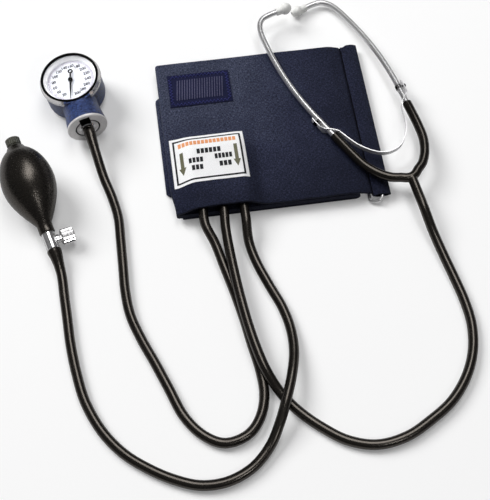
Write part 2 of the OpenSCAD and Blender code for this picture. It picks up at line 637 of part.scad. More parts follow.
// Outline of the folded cuff in the X-Z plane, at the width place y
function cuff_ring(y) =
    let (xs = top_xs,
         fold_r = (top_z + ply_t - pouch_z) / 2,
         under_r = (pouch_z + pouch_t - bottom_z) / 2)
    [for (p = concat(
        [for (x = xs) [x, top_surface(x, y)]],
        [for (a = [105 : 15 : 255]) [-cuff_x + 4, pouch_z + fold_r] + polar(fold_r, a)],
        [for (x = [-cuff_x + 4, 0, fold_x - 4]) [x, pouch_z]],
        [[fold_x - 3.7, pouch_z - run_gap / 2]],
        [for (x = [fold_x - 4, 0, -cuff_x + 6]) [x, bottom_z + ply_t]],
        [for (a = [120 : 30 : 240]) [-cuff_x + 6, bottom_z + ply_t / 2] + polar(ply_t / 2, a)],
        [for (x = [-cuff_x + 6, 0, fold_x - 4]) [x, bottom_z]],
        [for (a = [-75 : 15 : 75]) [fold_x - 4, bottom_z + under_r] + polar(under_r, a)],
        [for (x = [fold_x - 4, 0, -cuff_x + 4]) [x, pouch_z + pouch_t]],
        [[-cuff_x + 3.7, top_z - run_gap / 2]],
        [for (x = reversed(xs)) [x, top_surface(x, y) - ply_t]]))
    [p[0], y, p[1]]];

module cuff_cloth() color("midnightblue") in_cuff() difference() {
    skin([for (y = top_ys) cuff_ring(y)]);
    // Pouch for the bladder
    translate([-cuff_x + 12, -cuff_w / 2 + 8, pouch_z + 1])
        cube([cuff_x + fold_x - 26, cuff_w - 16, pouch_t - 2]);
    // Grommet holes for the two ports
    for (x = [hose_x[0], hose_x[2]])
        translate([x, port_y, pouch_z + pouch_t / 2]) cylinder(r = 3.5, h = pouch_t / 2 + run_gap / 2);
}

bladder_z = pouch_z + pouch_t / 2 - bladder_t / 2;
module bladder_plan(grow) {
    offset(r = 8 + grow) translate([-cuff_x + 22, -cuff_w / 2 + 18])
        square([cuff_x + fold_x - 46, cuff_w - 36]);
}
module cuff_bladder() color("dimgray") in_cuff() difference() {
    translate([0, 0, bladder_z]) linear_extrude(bladder_t) bladder_plan(0);
    translate([0, 0, bladder_z + 0.8]) linear_extrude(bladder_t - 1.6) bladder_plan(-3);
    for (x = [hose_x[0], hose_x[2]]) translate([x, port_y, bladder_z + 0.9]) cylinder(r = 1.4, h = bladder_t);
}

// Moulded elbows from the bladder to the two air hoses
port_len = 6;
module bladder_ports() color("dimgray") in_cuff() for (x = [hose_x[0], hose_x[2]]) translate([x, port_y, 0])
    difference() {
        union() {
            translate([0, 0, bladder_z + bladder_t + seat])
                cylinder(r = 3.1, h = hose_z - bladder_z - bladder_t - seat);
            translate([0, 0, hose_z]) sphere(r = 3.1);
            translate([0, 0, hose_z]) rotate([90, 0, 0]) cylinder(r = 3.3, h = port_len);
            translate([0, 0, hose_z]) rotate([90, 0, 0]) cylinder(r = barb_r, h = port_len + 5);
        }
        translate([0, 0, bladder_z]) cylinder(r = 1.2, h = hose_z - bladder_z);
        translate([0, 0, hose_z]) rotate([90, 0, 0]) cylinder(r = 1.2, h = port_len + 6);
    }

// Hem that wraps the D-ring's bar
bar_r = dring_wire / 2;
sleeve_t = dring_wire + 2.2;
sleeve_z = top_z + ply_t / 2 - droop;
bar_x = cuff_x - 7;
bow = 4;
ring_y0 = -cuff_w / 2 - 1.2;
ring_y1 = cuff_w / 2 - 2;
module dring_sleeve() color("midnightblue") in_cuff() difference() {
    translate([0, cuff_w / 2 - 0.5, 0]) rotate([90, 0, 0]) linear_extrude(cuff_w - 1) difference() {
        polygon(concat(
            [[sleeve_x, sleeve_z + ply_t / 2], [sleeve_x, sleeve_z - ply_t / 2]],
            [[bar_x - 2, sleeve_z - sleeve_t / 2], [bar_x + 2, sleeve_z - sleeve_t / 2]],
            [for (a = [-75 : 15 : 75]) [cuff_x - ply_t / 2, sleeve_z] + polar(ply_t / 2, a)],
            [[bar_x + 2, sleeve_z + sleeve_t / 2], [bar_x - 2, sleeve_z + sleeve_t / 2]]));
        translate([bar_x, sleeve_z]) circle(r = bar_r + 0.1);
    }
    // Notches under the top ply where the ring's two ends leave the hem
    for (y = [ring_y0 - 2, ring_y1 - bow - 0.5]) translate([sleeve_x - 1, y, sleeve_z - sleeve_t])
        cube([bar_x + bar_r + 0.1 - sleeve_x + 1, bow + 2.8, sleeve_t + bar_r + 0.1]);
}

// D-ring: a long wire loop, one bar in the hem and the other lying under the cloth
free_bar = [bar_x - dring_w, bar_r + 0.3];
dring_tilt = asin((sleeve_z - free_bar[1]) / dring_w);
module dring() color("gainsboro") in_cuff() translate([bar_x, 0, sleeve_z]) rotate([0, -dring_tilt, 0]) {
    for (x = [0, -dring_w]) translate([x, ring_y0 + bow, 0]) rotate([-90, 0, 0])
        cylinder(r = bar_r, h = ring_y1 - ring_y0 - 2 * bow);
    for (y = [ring_y0, ring_y1]) translate([-dring_w + bow, y, 0]) rotate([0, 90, 0])
        cylinder(r = bar_r, h = dring_w - 2 * bow);
    for (cx = [-bow, bow - dring_w], cy = [ring_y0 + bow, ring_y1 - bow])
        translate([cx, cy, 0]) rotate([0, 0, (cx > -dring_w / 2 ? 0 : 90) + (cy > 0 ? 0 : (cx > -dring_w / 2 ? -90 : 90))])
            rotate_extrude(angle = 90) translate([bow, 0]) circle(r = bar_r, $fn = 32);
}

// Sewn label, bent with the top run
label_t = 0.4;
function within(v, range) = v >= range[0] - 0.01 && v <= range[1] + 0.01;
label_xs = [for (x = top_xs) if (within(x, label_x)) x];
module cuff_label() color("whitesmoke") in_cuff() skin([for (y = top_ys) if (within(y, label_y)) concat(
    [for (x = label_xs) [x, y, top_surface(x, y) + seat + label_t]],
    [for (x = reversed(label_xs)) [x, y, top_surface(x, y) + seat]])], other = true);

hook_at = [-cuff_x + 9, -front_y - 45];
hook_size = [52, 32];
module hook_patch() color("navy") in_cuff() translate([hook_at[0], hook_at[1], top_z + ply_t + 0.05])
    rotate([90, 0, 90]) linear_extrude(hook_size[0]) polygon(concat(
        [[0, 0]],
        flat2([for (i = [0 : 19]) let (y = hook_size[1] * i / 20, w = hook_size[1] / 20)
            [[y, 0.6], [y + w * 0.3, 1.3], [y + w * 0.7, 1.3]]]),
        [[hook_size[1], 0.6], [hook_size[1], 0]]));

module loop_patch() color("midnightblue") in_cuff() translate([-cuff_x + 12, -cuff_w / 2 + 8, 0])
    cube([cuff_x + fold_x - 24, cuff_w - 16, loop_t - 0.02]);

// Chestpiece in the fold, its diaphragm against the pouch
chest_z = pouch_z + pouch_t + 0.25;
chest_stem = chest_r + 4;
stem_r = 2.2;
module in_chest() in_cuff() translate([swell_x, chest_y, chest_z]) children();
module chestpiece_body() color("silver") in_chest() difference() {
    union() {
        rotate_extrude() polygon([
            [0, 1.5], [chest_r - 1.6, 1.5], [chest_r - 1.6, 3], [chest_r - 5, 4], [8, chest_h - 0.6],
            [7, chest_h], [0, chest_h]]);
        translate([0, 0, hose_z - chest_z]) rotate([90, 0, 0]) cylinder(r = stem_r, h = chest_stem);
        translate([0, 0, hose_z - chest_z]) rotate([90, 0, 0]) cylinder(r = barb_r, h = chest_stem + 6);
    }
    translate([0, 0, 1.4]) cylinder(r1 = chest_r - 3.2, r2 = 1.5, h = 1.4);
    translate([0, 0, hose_z - chest_z]) rotate([90, 0, 0]) cylinder(r = 1.2, h = chest_stem + 8);
    cylinder(r = 1.2, h = hose_z - chest_z);
}

module chestpiece_ring() color("black") in_chest() difference() {
    rotate_extrude() polygon([
        [chest_r - 3, 0], [chest_r - 0.6, 0], [chest_r, 0.6], [chest_r, 2.6], [chest_r - 0.5, 3.1],
        [chest_r - 1.5, 3.1], [chest_r - 1.5, 0.7], [chest_r - 3, 0.7]]);
    translate([0, 0, hose_z - chest_z]) rotate([90, 0, 0]) cylinder(r = stem_r + run_fit, h = chest_r + 2);
}

module chestpiece_diaphragm() color("white") in_chest() translate([0, 0, 0.75])
    cylinder(r = chest_r - 1.6, h = 0.6);

// Headset: X runs from the yoke to the ear tips, Y to the left ear tube
left_tilt = 0;
right_tilt = 3.8;
tilt_x = 45;
arm_line = [[3, 8], [7, 15], [15, 22], [26, 27.6], [38, 30.6], [50, 32.8], [62, 34.9]];
function arm_route(tilt) = [for (p = spline(arm_line, 2)) [p[0], p[1], -tan(tilt) * max(0, p[0] - tilt_x)]];
ear_line = [[49.5, 32.7], [62, 34.9], [75, 37.2], [90, 39.6], [106, 41.4], [122, 42.3], [138, 42.2], [154, 41.2],
    [168, 39.7], [180, 37.8], [189, 34.6], [194.4, 29.4], [195.8, 22], [195.6, 11]];
ear_route = [for (p = spline(ear_line, 2)) [p[0], p[1], 0]];
tip_x = 195.6;
tip_end = 0.7;

module left_side() in_headset() children();
module right_side() in_headset() mirror([0, 1, 0]) children();
module tilted(tilt) translate([tilt_x, 0, 0]) rotate([0, tilt, 0]) translate([-tilt_x, 0, 0]) children();
module ear_tube() piped(ear_route, ear_tube_r, ear_tube_r - 0.8, 12);
module yoke_arm(tilt) piped(arm_route(tilt), yoke_r, ear_tube_r + 0.25, 12);

module left_ear_tube() color("gainsboro") left_side() tilted(left_tilt) ear_tube();
module right_ear_tube() color("gainsboro") right_side() tilted(right_tilt) ear_tube();
module yoke_left_arm() color("black") left_side() yoke_arm(left_tilt);
module yoke_right_arm() color("black") right_side() yoke_arm(right_tilt);

stem_turn = 13;
stem_len = 13.4;
module yoke_junction() color("black") in_headset() difference() {
    union() {
        hull() {
            translate([-1, 0, 0]) sphere(r = yoke_r, $fn = 24);
            for (s = [-1, 1]) translate([3, s * 8, 0]) rotate([0, 0, s * 60]) rotate([0, -90, 0])
                translate([0, 0, 0.05]) cylinder(r = yoke_r - 0.1, h = 2, $fn = 24);
        }
        rotate([0, 0, -stem_turn]) rotate([0, -90, 0]) cylinder(r = yoke_r, h = stem_len);
    }
    rotate([0, 0, -stem_turn]) rotate([0, -90, 0]) cylinder(r = hose_bore, h = stem_len + 1);
    for (s = [-1, 1]) rotate([0, 0, s * 69.5]) rotate([0, 90, 0]) cylinder(r = hose_bore, h = 12);
}

// Barbed coupling between the yoke's stem and its hose
module yoke_coupling() color("silver") in_headset() rotate([0, 0, -stem_turn]) rotate([0, -90, 0])
    translate([0, 0, stem_len]) rotate_extrude() polygon([
        [1, -6], [barb_r - 0.4, -6], [barb_r, -4.4], [barb_r - 0.4, -4.4], [barb_r, -1], [barb_r, 1],
        [barb_r - 0.4, 4.4], [barb_r, 4.4], [barb_r - 0.4, 6], [1, 6]]);

module ear_tip() translate([tip_x, 0, 0]) rotate([-90, 0, 0]) difference() {
    rotate_extrude() polygon([
        [0, tip_end], [1.8, tip_end + 0.1], [3.2, tip_end + 1], [tip_r - 0.4, tip_end + 3.6],
        [tip_r, tip_end + 5.6], [tip_r - 0.5, tip_end + 7.6], [tip_r - 1.8, tip_end + 9.4],
        [3.4, tip_end + 10.8], [3.2, tip_end + 14], [0, tip_end + 14]]);
    translate([0, 0, ear_line[13][1] - 0.2]) cylinder(r = ear_tube_r + run_fit, h = 12);
    translate([0, 0, -1]) cylinder(r = 1.3, h = 14);
}
module left_ear_tip() color("white") left_side() tilted(left_tilt) ear_tip();
module right_ear_tip() color("white") right_side() tilted(right_tilt) ear_tip();

// Leaf spring: a bent strip whose ends let the ear tubes through and lie along their outer sides
leaf_line = [[84, 42.8], [74, 41.2], [70, 39.2], [66.5, 34.2], [62, 29.8], [55, 26.9], [45, 23], [35, 16.2],
    [28.5, 8], [27, 0]];
leaf_path = spline(concat(leaf_line, [for (i = [len(leaf_line) - 2 : -1 : 0]) [leaf_line[i][0], -leaf_line[i][1]]]),
    2);
// Drop of the strip towards the drooping right ear tube
function leaf_drop(p) = -tan(p[1] > 0 ? left_tilt : right_tilt) * max(0, p[0] - tilt_x);
leaf_last = len(leaf_path) - 1;
function leaf_side(i) = let (t = leaf_path[min(i + 1, leaf_last)] - leaf_path[max(i - 1, 0)])
    [-t[1], t[0]] / norm(t) * leaf_t / 2;
rivet_x = 79;
rivet_y = 42;
module leaf_spring() color("silver") in_headset() difference() {
    skin([for (i = [0 : leaf_last]) let (p = leaf_path[i], w = leaf_side(i), z = leaf_drop(p), h = leaf_h / 2)
        [concat(p + w, z - h), concat(p - w, z - h), concat(p - w, z + h), concat(p + w, z + h)]]);
    for (s = [0, 1]) mirror([0, s, 0]) tilted(s == 0 ? left_tilt : right_tilt) {
        translate([50, 32.8, 0]) rotate([0, 90, 9.8]) cylinder(r = ear_tube_r + 0.3, h = 26);
        translate([rivet_x, rivet_y - 4, 0]) rotate([-90, 0, 0]) cylinder(r = 1, h = 8);
    }
}

// Clip that holds a spring end to the ear tube: a ring round the tube, a rivet and its dark head
module spring_clip() {
    from = ear_route[4];
    step = ear_route[5] - from;
    turn = atan2(step[1], step[0]);
    rivet_sink = 1.4;
    head_gap = leaf_t / 2 + 0.2;
    translate(from + 2 * unit3(step)) rotate([0, 90, turn]) difference() {
        cylinder(r = ear_tube_r + 0.5, h = 4);
        translate([0, 0, -1]) cylinder(r = ear_tube_r + run_fit, h = 6);
    }
    translate([rivet_x, rivet_y, 0]) rotate([-90, 0, turn]) {
        translate([0, 0, -rivet_sink]) cylinder(r = 0.8, h = rivet_sink + head_gap + 0.1);
        translate([0, 0, head_gap]) cylinder(r1 = 1.9, r2 = 1.3, h = 1.4);
    }
}
module left_spring_clip() color("dimgray") left_side() tilted(left_tilt) spring_clip();
module right_spring_clip() color("dimgray") right_side() tilted(right_tilt) spring_clip();

// Places that the hose ends are joined to
function at_gauge(d) = gauge_at + d * [sin(gauge_turn[2]), -cos(gauge_turn[2]), 0];
function at_bulb(d) = bulb_at + d * [cos(bulb_turn[1]) * cos(bulb_turn[2]), cos(bulb_turn[1]) * sin(bulb_turn[2]),
    -sin(bulb_turn[1])];
function at_cuff(x, y) = [x * cos(cuff_turn) - y * sin(cuff_turn), x * sin(cuff_turn) + y * cos(cuff_turn), hose_z];
function at_stem(d) = headset_at + d * [-cos(headset_turn - stem_turn), -sin(headset_turn - stem_turn), 0];
touch = 0.15;

// Routes of the three hoses, along the table and over each other
lie = hose_d / 2;
gauge_route = concat(
    [at_gauge(pedestal_len + 1 + touch), at_gauge(pedestal_len + 1 + straight)],
    [[-139, -29, 13], [-133, -46, 8], [-126, -62, 4.8], [-120, -80, lie], [-117, -100, lie], [-114, -122, lie],
    [-111, -144, lie], [-106, -164, lie], [-97, -183, lie], [-86, -202, lie], [-75, -222, lie],
    [-64, -242, lie], [-50, -256, lie], [-34, -262, lie], [-18, -256, lie], [-9, -243, lie],
    [-6, -226, lie], [-9, -207, lie], [-15, -187, lie], [-21, -166, lie], [-28, -145, 4], [-36, -124, 6],
    [-43, -106, 9]],
    [at_cuff(hose_x[0], port_y - port_len - 2 * straight), at_cuff(hose_x[0], port_y - port_len - touch)]);
bulb_route = concat(
    [at_bulb(valve_end + touch), at_bulb(valve_end + straight)],
    [[-160, -132, 5], [-157, -148, lie], [-153, -168, lie], [-149, -188, lie], [-143, -210, lie],
    [-135, -232, lie], [-122, -253, lie], [-106, -269, lie], [-88, -280, lie], [-69, -288, lie],
    [-50, -292, lie], [-31, -289, lie], [-14, -279, lie], [-2, -264, 5], [5, -248, 9.4], [10, -231, 12.6],
    [14, -213, 11], [16, -194, 7.4], [14, -175, 4.6], [8, -157, lie], [-1, -140, lie], [-11, -120, 4.4],
    [-17, -103, 7.2]],
    [at_cuff(hose_x[2], port_y - port_len - 2 * straight), at_cuff(hose_x[2], port_y - port_len - touch)]);
chest_route = concat(
    [at_cuff(hose_x[1], chest_y - chest_stem - touch), at_cuff(hose_x[1], chest_y - chest_stem - 2 * straight)],
    [[-35, -94, 11.8], [-32, -112, 11.5], [-28, -132, 11.5], [-23.5, -152, 11.5], [-18, -173, 11.6],
    [-12, -192, 11.6], [-4.5, -210, 10], [5.5, -225, 5.4], [18, -238, lie], [34, -250, lie], [53, -260, lie],
    [74, -263, lie], [95, -257, lie], [113, -245, lie], [129, -231, lie], [141, -213, lie], [148, -193, lie],
    [149.5, -172, lie], [146, -152, lie], [140, -133, 4.2], [133, -114, 6], [126, -95, 9.2]],
    [at_stem(stem_len + 2 * straight), at_stem(stem_len + touch)]);

module gauge_hose() color("black") piped(gauge_route, hose_d / 2, hose_bore, hose_sides);
module bulb_hose() color("black") piped(bulb_route, hose_d / 2, hose_bore, hose_sides);
module chest_hose() color("black") piped(chest_route, hose_d / 2, hose_bore, hose_sides);

gauge_case();
gauge_bezel();
crystal_ring();
gauge_crystal();
dial_plate();
dial_screws();
dial_feet();
gauge_needle();
needle_arbor();
sector_gear();
sector_shaft();
movement_front_plate();
movement_back_plate();
movement_pillars();
hairspring();
push_rod();
capsule_lower();
capsule_upper();
end_plate();
hose_collar();
gauge_nipple();
bulb_shell();
inlet_valve_body();
inlet_valve_cage();
inlet_disc();
outlet_seat();
outlet_disc();
release_valve_body();
release_screw();
release_knob();
valve_pad();
valve_nipple();
hose_sleeve();
gauge_hose();
bulb_hose();
chest_hose();
cuff_cloth();
cuff_bladder();
bladder_ports();
dring_sleeve();
dring();
hook_patch();
loop_patch();
cuff_label();
chestpiece_body();
chestpiece_ring();
chestpiece_diaphragm();
yoke_junction();
yoke_coupling();
yoke_left_arm();
yoke_right_arm();
leaf_spring();
left_spring_clip();
right_spring_clip();
left_ear_tube();
right_ear_tube();
left_ear_tip();
right_ear_tip();
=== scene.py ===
"""Dresses an aneroid blood pressure kit: gauge, bulb, hoses, folded cuff and headset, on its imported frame."""

from __future__ import annotations

import logging
import math
from collections.abc import Iterable
from dataclasses import dataclass
from enum import Enum

import bmesh
import bpy
from mathutils import Matrix, Vector, noise


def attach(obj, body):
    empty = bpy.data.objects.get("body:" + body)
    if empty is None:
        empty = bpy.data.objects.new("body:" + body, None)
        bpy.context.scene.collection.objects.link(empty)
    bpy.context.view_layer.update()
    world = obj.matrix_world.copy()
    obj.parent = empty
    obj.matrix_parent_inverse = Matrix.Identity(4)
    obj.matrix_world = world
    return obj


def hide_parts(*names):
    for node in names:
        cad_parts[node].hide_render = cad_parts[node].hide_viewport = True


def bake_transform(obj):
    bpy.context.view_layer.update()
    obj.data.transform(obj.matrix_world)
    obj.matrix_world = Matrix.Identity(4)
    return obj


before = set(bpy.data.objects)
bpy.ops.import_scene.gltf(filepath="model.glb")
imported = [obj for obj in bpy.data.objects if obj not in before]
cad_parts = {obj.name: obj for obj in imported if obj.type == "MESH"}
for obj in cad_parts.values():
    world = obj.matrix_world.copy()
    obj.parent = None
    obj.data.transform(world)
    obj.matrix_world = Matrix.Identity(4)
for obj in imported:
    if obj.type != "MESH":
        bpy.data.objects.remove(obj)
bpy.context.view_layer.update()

LOG = logging.getLogger("kit")
MM = 0.001
Pair = tuple[float, float]
Point = tuple[float, float, float]
Colour = tuple[float, float, float]


# Places of the sub-assemblies


@dataclass(frozen=True)
class Place:
    """Where a sub-assembly's own frame, in millimetres, lies on the table."""

    at: Point = (0.0, 0.0, 0.0)
    turn: Point = (0.0, 0.0, 0.0)

    def matrix(self) -> Matrix:
        """The transform from local millimetres to metres on the table."""
        a, b, c = (math.radians(x) for x in self.turn)
        turn = Matrix.Rotation(c, 4, "Z") @ Matrix.Rotation(b, 4, "Y") @ Matrix.Rotation(a, 4, "X")
        return Matrix.Translation(Vector(self.at) * MM) @ turn @ Matrix.Scale(MM, 4)

    def point(self, *local: float) -> Vector:
        """The point on the table, in metres, of a local point in millimetres."""
        return self.matrix() @ Vector(local)


TABLE = Place()
GAUGE = Place((-162.5, 37.0, 16.6), (0.0, -6.0, 20.0))
BULB = Place((-189.5, -59.0, 21.4), (0.0, 12.0, -67.0))
CUFF = Place((0.0, 0.0, 0.0), (0.0, 0.0, 8.0))
HEADSET = Place((112.0, -49.0, 15.2), (0.0, 0.0, 118.0))
ALONG_BULB = Matrix.Rotation(math.radians(90), 4, "Y")


class Body(Enum):
    """The rigid bodies of the frame that the modelled pieces ride on."""

    KIT = "kit"
    NEEDLE = "needle"
    LEFT = "left_side"
    RIGHT = "right_side"


# Small helpers for nodes


class Tree:
    """Short calls for adding and joining nodes in one node tree."""

    def __init__(self, tree: bpy.types.NodeTree) -> None:
        """Keeps the tree that the calls work on.

        Args:
            tree: A material's or a group's node tree.
        """
        self.tree = tree

    def add(
            self, kind: str, values: dict[str | int, object] | None = None,
            **settings: object) -> bpy.types.Node:
        """Adds a node.

        Args:
            kind: The node's type name.
            values: What its inputs take, by name or number: a value, or a socket to join.
            settings: Properties of the node itself.

        Returns:
            The new node.
        """
        node = self.tree.nodes.new(kind)
        for name, value in settings.items():
            setattr(node, name, value)
        self.feed(node, values or {})
        return node

    def feed(self, node: bpy.types.Node, values: dict[str | int, object]) -> None:
        """Gives a node's inputs what they take.

        Args:
            node: The node.
            values: A value or a socket to join, for each input's name or number.
        """
        for name, value in values.items():
            socket = node.inputs[name]
            if isinstance(value, bpy.types.NodeSocket):
                self.tree.links.new(value, socket)
            else:
                socket.default_value = value

    def math(self, operation: str, a: object, b: object = 0.0) -> bpy.types.NodeSocket:
        """One Math node.

        Args:
            operation: The node's operation.
            a: First value or socket.
            b: Second value or socket.

        Returns:
            The result's socket.
        """
        return self.add("ShaderNodeMath", {0: a, 1: b}, operation=operation).outputs[0]

    def ramp(self, value: bpy.types.NodeSocket, stops: list[tuple[float, Colour]]) -> bpy.types.NodeSocket:
        """A colour ramp.

        Args:
            value: The socket that runs along the ramp.
            stops: Places from 0 to 1, each with its colour.

        Returns:
            The colour's socket.
        """
        node = self.add("ShaderNodeValToRGB", {"Fac": value})
        marks = node.color_ramp.elements
        while len(marks) < len(stops):
            marks.new(0.5)
        for mark, (place, colour) in zip(marks, stops):
            mark.position = place
            mark.color = (*colour, 1.0)
        return node.outputs["Color"]

    def spread(self, value: bpy.types.NodeSocket, low: float, high: float) -> bpy.types.NodeSocket:
        """Maps a value between low and high to 0..1, clamped.

        Args:
            value: The socket to map.
            low: What becomes 0.
            high: What becomes 1.

        Returns:
            The mapped socket.
        """
        node = self.add("ShaderNodeMapRange", {"Value": value, "From Min": low, "From Max": high})
        return node.outputs["Result"]

    def between(self, value: bpy.types.NodeSocket, low: float, high: float) -> bpy.types.NodeSocket:
        """Maps a value from 0..1 to low..high."""
        node = self.add("ShaderNodeMapRange", {"Value": value, "To Min": low, "To Max": high})
        return node.outputs["Result"]

    def noise(self, vector: bpy.types.NodeSocket, scale: object, detail: float) -> bpy.types.NodeSocket:
        """A noise from 0 to 1 over a vector, whose scale is a value or a socket."""
        node = self.add("ShaderNodeTexNoise", {"Vector": vector, "Scale": scale, "Detail": detail})
        return node.outputs["Fac"]

    def vector(self, operation: str, a: object, b: object = (0.0, 0.0, 0.0)) -> bpy.types.Node:
        """One Vector Math node, given two values or sockets."""
        return self.add("ShaderNodeVectorMath", {0: a, 1: b}, operation=operation)

    def seen(self) -> bpy.types.NodeSocket:
        """1 for a ray that the camera sees, straight or through the crystal, and 0 for any other."""
        path = self.add("ShaderNodeLightPath").outputs
        return self.math("MINIMUM", self.math("ADD", path["Is Camera Ray"], path["Is Transmission Ray"]), 1.0)

    def blend(self, mask: object, a: object, b: object, mode: str = "MIX") -> bpy.types.NodeSocket:
        """Mixes two colours.

        Args:
            mask: Share of the second colour, a value or socket.
            a: First colour or socket.
            b: Second colour or socket.
            mode: The blend mode.

        Returns:
            The colour's socket.
        """
        first, second = ((*c, 1.0) if isinstance(c, tuple) else c for c in (a, b))
        node = self.add("ShaderNodeMix", {0: mask, 6: first, 7: second}, data_type="RGBA", blend_type=mode)
        return node.outputs[2]


class Effect:
    """A shader node group that several finishes share, built the first time it is asked for."""

    name = "effect"
    inputs: dict[str, float] = {}

    def group(self) -> bpy.types.NodeTree:
        """The group, new or built before.

        Returns:
            The shader node group.
        """
        made = bpy.data.node_groups.get(self.name)
        if made:
            return made
        made = bpy.data.node_groups.new(self.name, "ShaderNodeTree")
        made.interface.new_socket("Vector", in_out="INPUT", socket_type="NodeSocketVector")
        for name, value in self.inputs.items():
            socket = made.interface.new_socket(name, in_out="INPUT", socket_type="NodeSocketFloat")
            socket.default_value = value
        made.interface.new_socket("Result", in_out="OUTPUT", socket_type="NodeSocketFloat")
        tree = Tree(made)
        given = tree.add("NodeGroupInput")
        tree.add("NodeGroupOutput", {"Result": self.build(tree, given)})
        return made

    def build(self, tree: Tree, given: bpy.types.Node) -> bpy.types.NodeSocket:
        """Adds the group's nodes.

        Args:
            tree: The group's tree.
            given: Its input node.

        Returns:
            The result's socket.
        """
        raise NotImplementedError

    def use(self, tree: Tree, vector: bpy.types.NodeSocket, **values: object) -> bpy.types.NodeSocket:
        """Places the group in a material.

        Args:
            tree: The material's tree.
            vector: The coordinates that the effect reads.
            values: Values or sockets for its other inputs, with _ for a space.

        Returns:
            The result's socket.
        """
        given = {name.replace("_", " "): value for name, value in values.items()}
        node = tree.add("ShaderNodeGroup", {"Vector": vector, **given}, node_tree=self.group())
        return node.outputs["Result"]


class Mottle(Effect):
    """Mask of soft patches of lighter and darker colour, with a fine speckle over them."""

    name = "mottle"
    inputs = {"Patch": 60.0, "Speckle": 900.0, "Speckle Share": 0.5}
    low = 0.3
    high = 0.7

    def build(self, tree: Tree, given: bpy.types.Node) -> bpy.types.NodeSocket:
        """Mixes two noises.

        Args:
            tree: The group's tree.
            given: Its input node.

        Returns:
            The mask's socket.
        """
        vector, share = given.outputs["Vector"], given.outputs["Speckle Share"]
        patch = tree.spread(tree.noise(vector, given.outputs["Patch"], 3.0), self.low, self.high)
        fleck = tree.spread(tree.noise(vector, given.outputs["Speckle"], 2.0), self.low, self.high)
        soft = tree.math("MULTIPLY", patch, tree.math("SUBTRACT", 1.0, share))
        return tree.math("ADD", soft, tree.math("MULTIPLY", fleck, share))


class Grain(Effect):
    """Height of the fine unevenness of a moulded, cast or painted surface."""

    name = "grain"
    inputs = {"Scale": 1500.0}

    def build(self, tree: Tree, given: bpy.types.Node) -> bpy.types.NodeSocket:
        """One noise of a given scale."""
        return tree.noise(given.outputs["Vector"], given.outputs["Scale"], 2.0)


class Weave(Effect):
    """Height of a plain weave: two sets of threads, a pitch apart, that pass over each other in turn."""

    name = "weave"
    inputs = {"Pitch": 0.5}
    crossing = 0.2

    def build(self, tree: Tree, given: bpy.types.Node) -> bpy.types.NodeSocket:
        """Crosses two waves.

        Args:
            tree: The group's tree.
            given: Its input node.

        Returns:
            The socket of the threads' height.
        """
        parts = tree.add("ShaderNodeSeparateXYZ", {0: given.outputs["Vector"]})
        turn = tree.math("DIVIDE", math.pi, given.outputs["Pitch"])
        along, across = (
            tree.math("SINE", tree.math("MULTIPLY", parts.outputs[axis], turn)) for axis in ("X", "Y"))
        over = tree.spread(tree.math("MULTIPLY", along, across), -self.crossing, self.crossing)
        top = tree.math("MULTIPLY", tree.math("ABSOLUTE", across), over)
        rest = tree.math("MULTIPLY", tree.math("ABSOLUTE", along), tree.math("SUBTRACT", 1.0, over))
        return tree.math("ADD", top, rest)


# Finishes


@dataclass(frozen=True)
class Mark:
    """A region of one piece that has another colour, its own or a painted shade, or ribs, given in its
    sub-assembly's own frame.

    The region is the part within radius of the axis through centre, and below top along it.
    """

    place: Place
    axis: Point
    centre: Point = (0.0, 0.0, 0.0)
    radius: float = 1000.0
    top: float = 1000.0
    colour: Colour = (0.004, 0.004, 0.004)
    ribs: int = 0
    rib_depth: float = 0.00015
    soft: float = 0.05

    def local(self, tree: Tree, where: bpy.types.NodeSocket) -> bpy.types.NodeSocket:
        """The place in the sub-assembly's own frame, in millimetres, from the table's coordinates.

        Args:
            tree: The material's tree.
            where: Its Object coordinates.

        Returns:
            The vector's socket.
        """
        turn = [math.radians(a) for a in self.place.turn]
        node = tree.add("ShaderNodeMapping", {
            "Vector": where, "Location": Vector(self.place.at) * MM, "Rotation": turn,
            "Scale": (MM, MM, MM)}, vector_type="TEXTURE")
        return node.outputs[0]

    def heights(
            self, tree: Tree, where: bpy.types.NodeSocket,
            ) -> tuple[bpy.types.NodeSocket, bpy.types.NodeSocket]:
        """How far along the axis and how far from it a point lies.

        Args:
            tree: The material's tree.
            where: Its Object coordinates.

        Returns:
            The sockets of the height along the axis and of the distance from it.
        """
        arm = tree.vector("SUBTRACT", self.local(tree, where), self.centre).outputs["Vector"]
        along = tree.vector("DOT_PRODUCT", arm, self.axis).outputs["Value"]
        across = tree.vector("CROSS_PRODUCT", arm, self.axis).outputs["Vector"]
        return along, tree.vector("LENGTH", across).outputs["Value"]

    def mask(self, tree: Tree, where: bpy.types.NodeSocket) -> bpy.types.NodeSocket:
        """1 inside the region and 0 outside, with a narrow soft edge.

        Args:
            tree: The material's tree.
            where: Its Object coordinates.

        Returns:
            The mask's socket.
        """
        along, out = self.heights(tree, where)
        low = tree.spread(along, self.top + self.soft, self.top - self.soft)
        near = tree.spread(out, self.radius + self.soft, self.radius - self.soft)
        return tree.math("MULTIPLY", low, near)

    def wave(self, tree: Tree, where: bpy.types.NodeSocket) -> bpy.types.NodeSocket:
        """Ribs along the axis, as a wave of the angle round it.

        Args:
            tree: The material's tree.
            where: Its Object coordinates.

        Returns:
            The wave's socket.
        """
        parts = tree.add("ShaderNodeSeparateXYZ", {0: self.local(tree, where)})
        names = [n for n, a in zip("XYZ", self.axis) if not a]
        angle = tree.math("ARCTAN2", parts.outputs[names[0]], parts.outputs[names[1]])
        return tree.math("SINE", tree.math("MULTIPLY", angle, float(self.ribs)))


